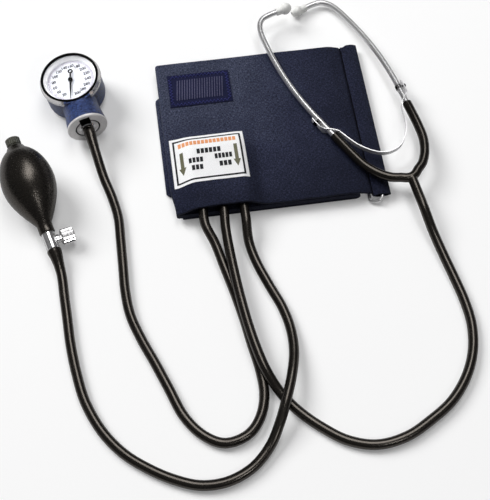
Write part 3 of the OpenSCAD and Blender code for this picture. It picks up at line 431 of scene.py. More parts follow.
@dataclass(frozen=True)
class Surface:
    """What the finishes share: a name, and a material that is built once."""

    name: str

    def material(self) -> bpy.types.Material:
        """The finish as a material, new or built before.

        Returns:
            The material.
        """
        made = bpy.data.materials.get(self.name)
        if not made:
            made = bpy.data.materials.new(self.name)
            made.use_nodes = True
            nodes = made.node_tree.nodes
            self.build(Tree(made.node_tree), nodes["Principled BSDF"], nodes["Material Output"])
        return made

    def build(self, tree: Tree, shader: bpy.types.Node, out: bpy.types.Node) -> None:
        """Adds the material's nodes.

        Args:
            tree: The material's tree.
            shader: Its Principled shader.
            out: Its output node.
        """
        raise NotImplementedError


@dataclass(frozen=True)
class Finish(Surface):
    """A finish of one solid stuff: two mottled colours, its gloss, its grain and its mark."""

    colour: Colour
    second: Colour
    roughness: float = 0.4
    roughness_spread: float = 0.1
    metallic: float = 0.0
    patch: float = 60.0
    speckle: float = 900.0
    speckle_share: float = 0.5
    grain: float = 1500.0
    depth: float = 0.00005
    coat: float = 0.0
    coat_roughness: float = 0.1
    specular: float = 0.5
    tint: Colour = (1.0, 1.0, 1.0)
    mark: Mark | None = None

    def build(self, tree: Tree, shader: bpy.types.Node, out: bpy.types.Node) -> None:
        """Mixes the colours, varies the gloss and raises the grain.

        Args:
            tree: The material's tree.
            shader: Its Principled shader.
            out: Its output node, not used.
        """
        where = tree.add("ShaderNodeTexCoord").outputs["Object"]
        mask = Mottle().use(
            tree, where, Patch=self.patch, Speckle=self.speckle, Speckle_Share=self.speckle_share)
        colour = tree.blend(mask, self.colour, self.second)
        vary = self.roughness_spread
        rough = tree.between(mask, self.roughness - vary, self.roughness + vary)
        height = Grain().use(tree, where, Scale=self.grain)
        bump = tree.add("ShaderNodeBump", {"Height": height, "Distance": self.depth, "Strength": 1.0})
        if self.mark and self.mark.ribs:
            ribs = tree.math("MULTIPLY", self.mark.wave(tree, where), self.mark.mask(tree, where))
            bump = tree.add("ShaderNodeBump", {
                "Height": ribs, "Distance": self.mark.rib_depth, "Strength": 1.0,
                "Normal": bump.outputs["Normal"]})
        elif self.mark:
            colour = tree.blend(self.mark.mask(tree, where), colour, self.mark.colour)
        tree.feed(shader, {
            "Metallic": self.metallic, "Coat Weight": self.coat, "Coat Roughness": self.coat_roughness,
            "Specular IOR Level": self.specular, "Specular Tint": (*self.tint, 1.0),
            "Base Color": colour, "Roughness": rough, "Normal": bump.outputs["Normal"]})


@dataclass(frozen=True)
class GlassFinish(Surface):
    """Clear crystal that lets the lamps reach the dial under it."""

    name: str = "crystal_glass"
    roughness: float = 0.02
    ior: float = 1.12
    smear: float = 90.0

    def build(self, tree: Tree, shader: bpy.types.Node, out: bpy.types.Node) -> None:
        """Makes the shader clear, and nothing at all to the light of the lamps.

        Args:
            tree: The material's tree.
            shader: Its Principled shader.
            out: Its output node.
        """
        where = tree.add("ShaderNodeTexCoord").outputs["Object"]
        rough = tree.between(tree.noise(where, self.smear, 2.0), 0.0, 2 * self.roughness)
        tree.feed(shader, {"Transmission Weight": 1.0, "IOR": self.ior, "Roughness": rough})
        through = tree.add("ShaderNodeBsdfTransparent")
        lamp = tree.add("ShaderNodeLightPath").outputs["Is Shadow Ray"]
        mixed = tree.add("ShaderNodeMixShader", {0: lamp, 1: shader.outputs[0], 2: through.outputs[0]})
        tree.feed(out, {"Surface": mixed.outputs[0]})


@dataclass(frozen=True)
class FloorFinish(Surface):
    """A pale floor that the camera sees whiter than the lamps make it, and mirrors see darker.

    Near the object only a little light is added, so that the shadows show. It rises with the distance
    between the two fade distances, in metres, and beyond them the floor is plain white.
    """

    name: str = "floor_white"
    white: float = 0.80
    mirrored: float = 0.55
    lift: float = 0.17
    fade: Pair = (0.6, 1.6)

    def build(self, tree: Tree, shader: bpy.types.Node, out: bpy.types.Node) -> None:
        """Adds light of its own to a plain diffuse card.

        Args:
            tree: The material's tree.
            shader: Its Principled shader, which is taken away.
            out: Its output node.
        """
        tree.tree.nodes.remove(shader)
        glossy = tree.add("ShaderNodeLightPath").outputs["Is Glossy Ray"]
        colour = tree.blend(glossy, 3 * (self.white,), 3 * (self.mirrored,))
        card = tree.add("ShaderNodeBsdfDiffuse", {"Color": colour})
        place = tree.add("ShaderNodeTexCoord").outputs["Object"]
        far = tree.spread(tree.vector("LENGTH", place).outputs["Value"], *self.fade)
        shown = tree.math("ADD", self.lift, tree.math("MULTIPLY", far, 1.0 - self.lift))
        glow = tree.add("ShaderNodeEmission", {"Strength": tree.math("MULTIPLY", tree.seen(), shown)})
        both = tree.add("ShaderNodeAddShader", {0: card.outputs[0], 1: glow.outputs[0]})
        tree.feed(out, {"Surface": both.outputs[0]})


SLUB_STOPS = [(0.0, (0.25, 0.25, 0.28)), (0.5, (0.9, 0.9, 0.9)), (1.0, (2.2, 2.1, 2.0))]
# Painted light and shade for the cloth, as colours to multiply it by: dark where it stands for shade, above 1
# where it stands for light.
PAINTED_SHADING_STOPS = [(0.0, (0.22, 0.24, 0.30)), (0.5, (0.62, 0.64, 0.72)), (1.0, (1.30, 1.34, 1.26))]


@dataclass(frozen=True)
class ClothFinish(Surface):
    """Woven nylon that follows the cloth by its thread attribute, in millimetres along and across."""

    colour: Colour
    second: Colour
    fleck: Colour
    pitch: float = 0.55
    depth: float = 0.00012
    roughness: float = 0.72
    roughness_spread: float = 0.1
    sheen: float = 0.25
    sheen_roughness: float = 0.4
    specular: float = 0.2
    patch: float = 0.035
    speckle: float = 0.9
    speckle_share: float = 0.62
    fleck_scale: float = 1.7
    fleck_share: float = 0.55
    # Painted shade in the gaps between the threads: its share, and how dark it makes the colour.
    gap_share: float = 0.5
    gap_colour: float = 0.35
    fibre_scale: float = 3.0
    fibre_share: float = 0.6
    relief: float = 0.8
    slub: float = 0.0
    # Strength of the painted light and shade over the cloth.
    fade: float = 0.0

    def build(self, tree: Tree, shader: bpy.types.Node, out: bpy.types.Node) -> None:
        """Mixes the threads' colours, paints shade into the gaps between them and raises the weave.

        Args:
            tree: The material's tree.
            shader: Its Principled shader.
            out: Its output node, not used.
        """
        thread = tree.add("ShaderNodeAttribute", {}, attribute_name="thread").outputs["Vector"]
        weave = Weave().use(tree, thread, Pitch=self.pitch)
        mask = Mottle().use(
            tree, thread, Patch=self.patch, Speckle=self.speckle, Speckle_Share=self.speckle_share)
        colour = tree.blend(mask, self.colour, self.second)
        spot = tree.spread(tree.noise(thread, self.fleck_scale, 1.0), 0.58, 0.7)
        colour = tree.blend(tree.math("MULTIPLY", spot, self.fleck_share), colour, self.fleck)
        if self.slub:
            colour = tree.blend(self.slub, colour, self.slubs(tree, thread), "MULTIPLY")
        # Painted light and shade: darker towards the front edge and the hem, lighter towards the back.
        if self.fade:
            colour = tree.blend(self.fade, colour, self.faded(tree, thread), "MULTIPLY")
        # Painted shade: where the weave is low, between the threads, the colour is darkened.
        gap = tree.math("MULTIPLY", tree.spread(weave, 0.55, 0.1), self.gap_share)
        colour = tree.blend(gap, colour, tuple(self.gap_colour * c for c in self.colour))
        fine = tree.noise(thread, self.fibre_scale, 2.0)
        height = tree.math("ADD", weave, tree.math("MULTIPLY", fine, self.fibre_share))
        bump = tree.add("ShaderNodeBump", {"Height": height, "Distance": self.depth, "Strength": self.relief})
        vary = self.roughness_spread
        rough = tree.between(fine, self.roughness - vary, self.roughness + vary)
        tree.feed(shader, {
            "Sheen Weight": self.sheen, "Sheen Roughness": self.sheen_roughness,
            "Specular IOR Level": self.specular, "Base Color": colour, "Roughness": rough,
            "Normal": bump.outputs["Normal"]})

    def slubs(self, tree: Tree, thread: bpy.types.NodeSocket) -> bpy.types.NodeSocket:
        """Uneven threads: short light and dark streaks along both directions of the weave.

        Args:
            tree: The material's tree.
            thread: Its place along and across the cloth.

        Returns:
            A colour to multiply by.
        """
        short, long = 1.7, 0.5
        streaks = [
            tree.noise(tree.vector("MULTIPLY", thread, stretch).outputs["Vector"], 1.0, 2.0)
            for stretch in ((short, long, 1.0), (long, short, 1.0))]
        return tree.ramp(tree.spread(tree.math("ADD", *streaks), 0.72, 1.28), SLUB_STOPS)

    def faded(self, tree: Tree, thread: bpy.types.NodeSocket) -> bpy.types.NodeSocket:
        """Painted light and shade on the cloth: darker towards the front edge and the hem, lighter towards the
        back.

        Args:
            tree: The material's tree.
            thread: Its place along and across the cloth.

        Returns:
            A colour to multiply by.
        """
        clouds, wander, least = 0.022, 60.0, 0.24
        parts = tree.add("ShaderNodeSeparateXYZ", {0: thread})
        cloud = tree.math("MULTIPLY", tree.noise(thread, clouds, 3.0), wander)
        across = tree.spread(tree.math("ADD", parts.outputs["Y"], cloud), -48.0, 70.0)
        along = tree.spread(tree.math("ADD", parts.outputs["X"], cloud), 45.0, 125.0)
        lit_along = tree.math("ADD", tree.math("MULTIPLY", along, 1.0 - least), least)
        pale = tree.math("MULTIPLY", tree.math("POWER", across, 0.8), lit_along)
        return tree.ramp(pale, PAINTED_SHADING_STOPS)


WARM = (1.0, 0.90, 0.80)
ENAMEL = Finish(
    "wrinkle_enamel", (0.0, 0.0, 0.010), (0.052, 0.090, 0.260), 0.40, 0.12, patch=1500.0, speckle=750.0,
    speckle_share=0.9, grain=1100.0, depth=0.00035, coat=0.2, coat_roughness=0.3)
CHROME = Finish(
    "chrome_plate", (0.80, 0.80, 0.81), (0.88, 0.87, 0.87), 0.09, 0.04, metallic=1.0, grain=300.0,
    depth=0.00001)
# Painted shade: the end plate's mark blacks its faces within 15.2 mm of the pedestal's axis and short of 43.55
# mm down it, in the slot and groove.
SATIN = Finish(
    "satin_plate", (0.74, 0.72, 0.72), (0.88, 0.86, 0.86), 0.36, 0.08, metallic=0.3, grain=2500.0,
    depth=0.00003, mark=Mark(GAUGE, (0.0, -1.0, 0.0), radius=15.2, top=43.55))
BRIGHT_CHROME = Finish(
    "bright_chrome", (0.90, 0.90, 0.91), (0.96, 0.95, 0.95), 0.34, 0.04, metallic=0.9, grain=300.0,
    depth=0.00001)
VALVE_CHROME = Finish(
    "valve_chrome", (0.84, 0.84, 0.85), (0.92, 0.91, 0.91), 0.11, 0.04, metallic=0.88, grain=300.0,
    depth=0.00001)
BEZEL = Finish(
    "bezel_chrome", (0.80, 0.79, 0.80), (0.90, 0.88, 0.88), 0.16, 0.06, metallic=0.75, grain=300.0,
    depth=0.00002, mark=Mark(GAUGE, (0.0, 0.0, 1.0), top=10.6, ribs=180))
SPRING_STRIP = Finish(
    "spring_strip", (0.72, 0.72, 0.73), (0.86, 0.85, 0.86), 0.30, 0.08, metallic=0.45, grain=900.0,
    depth=0.00001)
LEFT_CLIP = Finish(
    "left_clip_plate", (0.78, 0.78, 0.79), (0.88, 0.87, 0.87), 0.12, 0.05, metallic=1.0, depth=0.00001,
    mark=Mark(HEADSET, (0.0, 1.0, 0.0), (79.0, 42.0, 0.0), radius=2.1))
RIGHT_CLIP = Finish(
    "right_clip_plate", (0.78, 0.78, 0.79), (0.88, 0.87, 0.87), 0.12, 0.05, metallic=1.0, depth=0.00001,
    mark=Mark(HEADSET, (0.0, -1.0, 0.0), (79.0, -42.0, -2.2), radius=2.1))
STEEL = Finish(
    "turned_steel", (0.50, 0.50, 0.52), (0.66, 0.66, 0.67), 0.25, 0.08, metallic=1.0, grain=900.0,
    depth=0.00002)
BRASS = Finish(
    "movement_brass", (0.62, 0.42, 0.14), (0.75, 0.54, 0.22), 0.3, 0.1, metallic=1.0, grain=1200.0,
    depth=0.00002)
BRONZE = Finish(
    "capsule_surface", (0.48, 0.25, 0.11), (0.62, 0.36, 0.17), 0.32, 0.1, metallic=1.0, grain=1200.0,
    depth=0.00002)
BLUED = Finish("blued_spring", (0.02, 0.04, 0.12), (0.05, 0.09, 0.22), 0.25, 0.08, metallic=1.0)
GLOSS_BLACK = Finish(
    "black_ring_gloss", (0.003, 0.003, 0.003), (0.006, 0.006, 0.006), 0.50, 0.06, depth=0.00001,
    specular=0.05)
NEEDLE_BLACK = Finish("needle_paint", (0.003, 0.003, 0.003), (0.008, 0.008, 0.008), 0.6, 0.1, specular=0.2)
DIAL_WHITE = Finish(
    "dial_enamel", (0.58, 0.60, 0.66), (0.66, 0.67, 0.71), 0.42, 0.06, patch=200.0, speckle_share=0.3,
    depth=0.00001)
# Painted light: a much paler white than the dial's enamel, so that the flange's side turned from the lamps
# still reads white.
FLANGE_PAINTED_LIGHT = Finish("flange_painted_light", (0.90, 0.90, 0.93), (0.95, 0.95, 0.96), 0.45, 0.06)
DIAL_GREY = Finish("dial_numbers", (0.012, 0.012, 0.02), (0.03, 0.03, 0.045), 0.5, 0.05)
DIAL_LILAC = Finish("dial_ticks", (0.20, 0.16, 0.24), (0.30, 0.24, 0.33), 0.5, 0.05)
HOSE_RUBBER = Finish(
    "hose_surface", (0.002, 0.0018, 0.0016), (0.005, 0.0044, 0.0038), 0.25, 0.05, patch=90.0,
    speckle_share=0.4, grain=700.0, depth=0.00002, specular=0.95, tint=WARM)
BULB_RUBBER = Finish(
    "bulb_surface", (0.001, 0.0009, 0.0008), (0.006, 0.0052, 0.0044), 0.28, 0.08, patch=70.0, speckle=800.0,
    speckle_share=0.8, grain=900.0, depth=0.00012, specular=1.0, tint=WARM)
YOKE_RUBBER = Finish(
    "yoke_rubber", (0.002, 0.0018, 0.0016), (0.005, 0.0044, 0.0038), 0.22, 0.05, patch=80.0, grain=900.0,
    depth=0.00002, specular=0.75, tint=WARM)
VALVE_OLIVE = Finish(
    "inlet_moulding", (0.040, 0.041, 0.030), (0.085, 0.085, 0.064), 0.32, 0.08, grain=1500.0, depth=0.00005,
    mark=Mark(BULB, (1.0, 0.0, 0.0), ribs=24))
# Painted shadow: near black, for the line of shade in the hem's crease.
CREASE_SHADOW_BLACK = Finish("painted_crease_shadow", (0.001, 0.001, 0.002), (0.003, 0.003, 0.006), 0.8, 0.1, specular=0.1)
SOFT_BLACK = Finish("disc_surface", (0.015, 0.015, 0.015), (0.03, 0.03, 0.03), 0.6, 0.08)
BLADDER = Finish("bladder_surface", (0.05, 0.05, 0.055), (0.08, 0.08, 0.085), 0.6, 0.08, grain=600.0)
WHITE_TIP = Finish(
    "ear_tip_plastic", (0.80, 0.80, 0.78), (0.88, 0.88, 0.86), 0.38, 0.06, patch=120.0, speckle_share=0.3,
    depth=0.00003)
DIAPHRAGM = Finish("diaphragm_sheet", (0.78, 0.78, 0.76), (0.84, 0.84, 0.82), 0.3, 0.05)
LABEL_WHITE = ClothFinish(
    "label_cloth", (0.90, 0.90, 0.91), (0.95, 0.95, 0.95), (0.86, 0.86, 0.89), pitch=0.35, depth=0.00003,
    sheen=0.0)
# The navy cloth carries painted light and shade, darker towards its front edge and hem.
NYLON = ClothFinish(
    "navy_nylon", (0.018, 0.022, 0.044), (0.052, 0.059, 0.104), (0.090, 0.086, 0.108), sheen=0.0, slub=1.5,
    fade=1.0)
HOOK_BASE = ClothFinish(
    "hook_base", (0.006, 0.008, 0.028), (0.014, 0.016, 0.055), (0.025, 0.025, 0.07), pitch=0.8, sheen=0.0)
# Painted highlight: the ribs' pale colours stand for the glints on the hooks.
HOOK_RIB_HIGHLIGHT = ClothFinish(
    "hook_ribs", (0.03, 0.03, 0.07), (0.12, 0.12, 0.21), (0.24, 0.24, 0.32), pitch=0.8, sheen=0.1)
HOOK_THREAD = ClothFinish(
    "hook_thread", (0.018, 0.022, 0.12), (0.045, 0.050, 0.24), (0.09, 0.095, 0.33), pitch=0.4)
LOOP_PILE = ClothFinish(
    "loop_pile", (0.004, 0.004, 0.010), (0.010, 0.010, 0.022), (0.02, 0.02, 0.035), pitch=0.9)
INK_BLACK = Finish("label_black", (0.008, 0.008, 0.010), (0.02, 0.02, 0.022), 0.6, 0.05, specular=0.3)
INK_ORANGE = Finish("label_orange", (0.68, 0.26, 0.10), (0.78, 0.36, 0.16), 0.6, 0.05)
INK_OLIVE = Finish("label_olive", (0.10, 0.10, 0.06), (0.15, 0.145, 0.09), 0.6, 0.05)


# Modelling calls


def select(*objects: bpy.types.Object) -> None:
    """Selects these objects and no others, and makes the first one active."""
    bpy.ops.object.select_all(action="DESELECT")
    for obj in objects:
        obj.select_set(True)
    bpy.context.view_layer.objects.active = objects[0]


def linked(name: str, data: bpy.types.ID | None) -> bpy.types.Object:
    """A new object in the scene, from its name and its data."""
    obj = bpy.data.objects.new(name, data)
    bpy.context.scene.collection.objects.link(obj)
    return obj


def copied(source: bpy.types.Object) -> bpy.types.Object:
    """A copy of an object in the scene, with its own mesh."""
    twin = source.copy()
    twin.data = source.data.copy()
    bpy.context.scene.collection.objects.link(twin)
    return twin


def dress(node: str, material: bpy.types.Material) -> None:
    """Gives a CAD node that is carried over its material.

    Args:
        node: The node's name.
        material: Its new material.
    """
    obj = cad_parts[node]
    if not obj.material_slots:
        obj.data.materials.append(material)
    for slot in obj.material_slots:
        slot.material = material
    LOG.info("dressed %s with %s", node, material.name)


def finished(
        obj: bpy.types.Object, name: str, place: Place, material: bpy.types.Material, body: Body | None,
        stands_for: tuple[str, ...] = (), smooth: float = 40.0) -> bpy.types.Object:
    """Puts a piece in its place on the table, names and dresses it, and lets it ride.

    Args:
        obj: The modelled object, in local millimetres.
        name: The piece's name.
        place: Its sub-assembly's place.
        material: Its material, or None where its slots are filled already.
        body: The body that it rides on, or None where it rides on none.
        stands_for: The CAD nodes that it replaces.
        smooth: The angle, in degrees, below which an edge is shaded smooth.

    Returns:
        The finished piece.
    """
    obj.name = obj.data.name = name
    obj.data.transform(place.matrix() @ obj.matrix_world)
    obj.matrix_world = Matrix.Identity(4)
    if material:
        obj.data.materials.clear()
        obj.data.materials.append(material)
    select(obj)
    bpy.ops.object.shade_smooth_by_angle(angle=math.radians(smooth))
    if stands_for:
        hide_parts(*stands_for)
    if body:
        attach(obj, body.value)
    LOG.info("built %s, %d faces", name, len(obj.data.polygons))
    return obj


def from_faces(name: str, points: list[Point], faces: list[tuple[int, ...]]) -> bpy.types.Object:
    """A linked mesh object from points and faces, with every face turned outwards.

    Args:
        name: The object's name.
        points: The corners.
        faces: The corner numbers of each face; one with more than four is cut into triangles.

    Returns:
        The object.
    """
    data = bpy.data.meshes.new(name)
    data.from_pydata(points, [], faces)
    obj = linked(name, data)
    mesh = bmesh.new()
    mesh.from_mesh(data)
    bmesh.ops.triangulate(mesh, faces=[f for f in mesh.faces if len(f.verts) > 4])
    bmesh.ops.recalc_face_normals(mesh, faces=mesh.faces)
    mesh.to_mesh(data)
    mesh.free()
    return obj


def loft(rings: int, count: int) -> list[tuple[int, ...]]:
    """Faces between closed rings of points, each ring joined to the next.

    Args:
        rings: How many rings.
        count: How many points each has.

    Returns:
        The corner numbers of each face.
    """
    faces = []
    for i in range(rings - 1):
        for j in range(count):
            a, b = i * count + j, i * count + (j + 1) % count
            faces.append((a, b, b + count, a + count))
    return faces


def keep_thread(obj: bpy.types.Object, places: list[Pair]) -> None:
    """Stores each point's place along and across the cloth, for the weave.

    Args:
        obj: The cloth's object.
        places: Millimetres along and across, for each point.
    """
    attribute = obj.data.attributes.new("thread", "FLOAT_VECTOR", "POINT")
    attribute.data.foreach_set("vector", [c for u, v in places for c in (u, v, 0.0)])


def keep_flat_thread(obj: bpy.types.Object) -> None:
    """Stores each point's own x and y as its place along and across the cloth."""
    keep_thread(obj, [(v.co.x, v.co.y) for v in obj.data.vertices])


def thicken(obj: bpy.types.Object, thickness: float) -> None:
    """Gives a one-layer sheet its thickness, upwards.

    Args:
        obj: The sheet.
        thickness: In millimetres.
    """
    select(obj)
    wall = obj.modifiers.new("wall", "SOLIDIFY")
    wall.thickness = thickness
    wall.offset = 1.0
    bpy.ops.object.modifier_apply(modifier=wall.name)


def turned(profile: list[Pair], steps: int, axis: Matrix | None = None) -> bpy.types.Object:
    """Turns a closed shape as on a lathe: a circle, extruded and scaled from one point to the next.

    Args:
        profile: Radius and height of each point, of which the last is joined to the first.
        steps: Facets round the axis.
        axis: Turns the lathe's Z axis to where the piece wants it.

    Returns:
        The turned object, in local millimetres.
    """
    least = 0.02
    radius, height = max(profile[0][0], least), profile[0][1]
    bpy.ops.object.select_all(action="DESELECT")
    bpy.ops.mesh.primitive_circle_add(vertices=steps, radius=radius, location=(0, 0, height))
    obj = bpy.context.object
    bpy.ops.object.transform_apply(location=True)
    bpy.ops.object.mode_set(mode="EDIT")
    bpy.ops.mesh.select_all(action="SELECT")
    for r, z in profile[1:]:
        r = max(r, least)
        bpy.ops.mesh.extrude_edges_move(TRANSFORM_OT_translate={"value": (0, 0, z - height)})
        bpy.ops.transform.resize(value=(r / radius, r / radius, 1), center_override=(0, 0, z))
        radius, height = r, z
    bpy.ops.mesh.select_all(action="DESELECT")
    bpy.ops.mesh.select_non_manifold()
    bpy.ops.mesh.bridge_edge_loops()
    bpy.ops.mesh.select_all(action="SELECT")
    bpy.ops.mesh.normals_make_consistent(inside=False)
    bpy.ops.object.mode_set(mode="OBJECT")
    if axis:
        obj.data.transform(axis)
    return obj


def swept(
        points: list[Vector], radii: list[float] | None = None, radius: float = 1.0, sides: int = 5,
        steps: int = 6) -> bpy.types.Object:
    """A round rod along a smooth line, made a mesh with closed ends.

    Args:
        points: The line's points.
        radii: Radius at each point, as a share of radius, or None where it is even.
        radius: The radius.
        sides: Bevel resolution of the section.
        steps: Steps between two points.

    Returns:
        The swept object.
    """
    data = line_curve(points, radii)
    data.bevel_depth = radius
    data.bevel_resolution = sides
    data.resolution_u = data.render_resolution_u = steps
    data.use_fill_caps = True
    return meshed(data, "swept")


def meshed(data: bpy.types.Curve, name: str) -> bpy.types.Object:
    """A curve as a linked mesh object of this name."""
    select(linked(name, data))
    bpy.ops.object.convert(target="MESH")
    return bpy.context.object


def line_curve(points: list[Vector], radii: list[float] | None = None) -> bpy.types.Curve:
    """One open spline through points, with the tangents of a Catmull-Rom line.

    Args:
        points: The line's points.
        radii: Radius factor at each point, or None for 1.

    Returns:
        The curve data.
    """
    data = bpy.data.curves.new("line", "CURVE")
    data.dimensions = "3D"
    data.twist_mode = "Z_UP"
    spline = data.splines.new("BEZIER")
    spline.bezier_points.add(len(points) - 1)
    last = len(points) - 1
    for i, (knot, p) in enumerate(zip(spline.bezier_points, points)):
        step = (Vector(points[min(i + 1, last)]) - Vector(points[max(i - 1, 0)])) / 6
        knot.handle_left_type = knot.handle_right_type = "FREE"
        knot.co = p
        knot.handle_left = Vector(p) - step
        knot.handle_right = Vector(p) + step
        knot.radius = radii[i] if radii else 1.0
    return data


def on_line(points: list[Vector], at: float) -> Vector:
    """The point of a Catmull-Rom line at a place given as point number and share of the span after it.

    Args:
        points: The line's points.
        at: From 0 to the last point's number.

    Returns:
        The point.
    """
    i = min(int(at), len(points) - 2)
    t = at - i
    p0, p1, p2, p3 = (Vector(points[min(max(k, 0), len(points) - 1)]) for k in (i - 1, i, i + 1, i + 2))
    return 0.5 * (2 * p1 + (p2 - p0) * t + (2 * p0 - 5 * p1 + 4 * p2 - p3) * t * t
                  + (3 * p1 - p0 - 3 * p2 + p3) * t * t * t)


def ease(t: float) -> float:
    """Smooth step from 0 to 1."""
    t = min(max(t, 0.0), 1.0)
    return t * t * (3 - 2 * t)


def arc(centre: Pair, radius: float, degrees: Iterable[int], powers: Pair = (1.0, 1.0)) -> list[Pair]:
    """Points of an arc in a section.

    Args:
        centre: Its centre.
        radius: Its radius.
        degrees: The angles of the points.
        powers: 1 for a circle, and less for a squarer arc, across and up.

    Returns:
        The points.
    """
    out = []
    for degree in degrees:
        c, s = math.cos(math.radians(degree)), math.sin(math.radians(degree))
        out.append((
            centre[0] + math.copysign(radius * abs(c) ** powers[0], c),
            centre[1] + math.copysign(radius * abs(s) ** powers[1], s)))
    return out


def rectangle(low: Pair, high: Pair) -> list[Pair]:
    """The corners of a rectangle between two opposite corners."""
    return [low, (high[0], low[1]), high, (low[0], high[1])]


# Studio


SKY_STOPS = [
    (0.0, (0.9, 0.9, 0.9)), (0.5, (0.75, 0.75, 0.77)), (0.58, (0.45, 0.45, 0.47)), (0.72, (0.8, 0.8, 0.83)),
    (0.9, (1.0, 1.0, 1.0)), (1.0, (1.0, 1.0, 1.0))]


@dataclass(frozen=True)
class Lamp:
    """A soft rectangular lamp, in metres and watts."""

    name: str
    at: Point
    size: Pair
    power: float
    glossy: bool = True

    def build(self, aim: Point) -> None:
        """Adds the lamp.

        Args:
            aim: The point that it faces.
        """
        data = bpy.data.lights.new(self.name, "AREA")
        data.shape = "RECTANGLE"
        data.size, data.size_y = self.size
        data.energy = self.power
        obj = linked(self.name, data)
        obj.location = self.at
        obj.rotation_euler = (Vector(aim) - Vector(self.at)).to_track_quat("-Z", "Y").to_euler()
        obj.visible_glossy = self.glossy


@dataclass
class Studio:
    """Camera, floor, soft lamps and the pale surroundings, in metres and degrees.

    The lens's focal length and the sensor's width are in millimetres.
    """

    look_at: Point = (-0.020, -0.107, 0.0)
    distance: float = 0.780
    elevation: float = 63.0
    focal: float = 73.47
    sensor: float = 36.0
    clip: Pair = (0.01, 20.0)
    lamps_aim: Point = (-0.02, -0.08, 0.0)
    lamps: tuple[Lamp, ...] = (
        Lamp("side", (-2.90, 1.86, 3.00), (2.3, 2.3), 190.0, glossy=False),
        Lamp("top", (0.14, 0.52, 1.80), (0.8, 1.3), 13.0),
        Lamp("front", (0.62, -0.92, 1.14), (0.12, 0.12), 1.4))
    sky: float = 0.10
    floor_size: float = 8.0

    def build(self) -> None:
        """Adds the camera, the floor, the lamps and the world."""
        self.camera()
        self.floor()
        for lamp in self.lamps:
            lamp.build(self.lamps_aim)
        self.world()
        bpy.context.scene.view_settings.view_transform = "Standard"

    def camera(self) -> None:
        """Puts the camera where the photograph's was."""
        data = bpy.data.cameras.new("camera")
        data.sensor_fit = "HORIZONTAL"
        data.sensor_width = self.sensor
        data.lens = self.focal
        data.clip_start, data.clip_end = self.clip
        obj = linked("camera", data)
        tilt = math.radians(self.elevation)
        back = Vector((0.0, -math.cos(tilt), math.sin(tilt))) * self.distance
        obj.location = Vector(self.look_at) + back
        obj.rotation_euler = (math.radians(90 - self.elevation), 0.0, 0.0)
        bpy.context.scene.camera = obj

    def floor(self) -> None:
        """Lays the plain pale floor."""
        bpy.ops.object.select_all(action="DESELECT")
        bpy.ops.mesh.primitive_plane_add(size=self.floor_size, location=(0.0, 0.0, 0.0))
        floor = bpy.context.object
        floor.name = "floor"
        floor.data.materials.append(FloorFinish().material())

    def world(self) -> None:
        """Surroundings that light evenly, with a darker band for plated pieces to show, and white behind."""
        world = bpy.data.worlds.new("surroundings")
        bpy.context.scene.world = world
        world.use_nodes = True
        tree = Tree(world.node_tree)
        world.node_tree.nodes.clear()
        up = tree.add("ShaderNodeSeparateXYZ", {0: tree.add("ShaderNodeTexCoord").outputs["Generated"]})
        glow = tree.ramp(tree.spread(up.outputs["Z"], -1.0, 1.0), SKY_STOPS)
        room = tree.add("ShaderNodeBackground", {"Color": glow, "Strength": self.sky})
        white = tree.add("ShaderNodeBackground", {"Color": (1.0, 1.0, 1.0, 1.0), "Strength": 1.0})
        mixed = tree.add("ShaderNodeMixShader", {0: tree.seen(), 1: room.outputs[0], 2: white.outputs[0]})
        tree.add("ShaderNodeOutputWorld", {"Surface": mixed.outputs[0]})


# Hoses


MOUTH_Z = 12.7


def in_gauge(d: float) -> Vector:
    """Point d millimetres down the gauge's pedestal axis, on the table, in millimetres."""
    turn = math.radians(GAUGE.turn[2])
    return Vector(GAUGE.at) + d * Vector((math.sin(turn), -math.cos(turn), 0.0))


def in_bulb(d: float) -> Vector:
    """Point d millimetres along the bulb's axis, on the table, in millimetres."""
    dip, turn = math.radians(BULB.turn[1]), math.radians(BULB.turn[2])
    return Vector(BULB.at) + d * Vector((
        math.cos(dip) * math.cos(turn), math.cos(dip) * math.sin(turn), -math.sin(dip)))


def in_cuff(x: float, y: float) -> Vector:
    """Table point, in millimetres, of a place in the mouth of the cuff's fold."""
    return CUFF.point(x, y, MOUTH_Z) / MM


def in_stem(d: float) -> Vector:
    """Point d millimetres back along the yoke's stem, on the table, in millimetres."""
    turn = math.radians(HEADSET.turn[2] - Headset.stem_turn)
    return Vector(HEADSET.at) + d * Vector((-math.cos(turn), -math.sin(turn), 0.0))


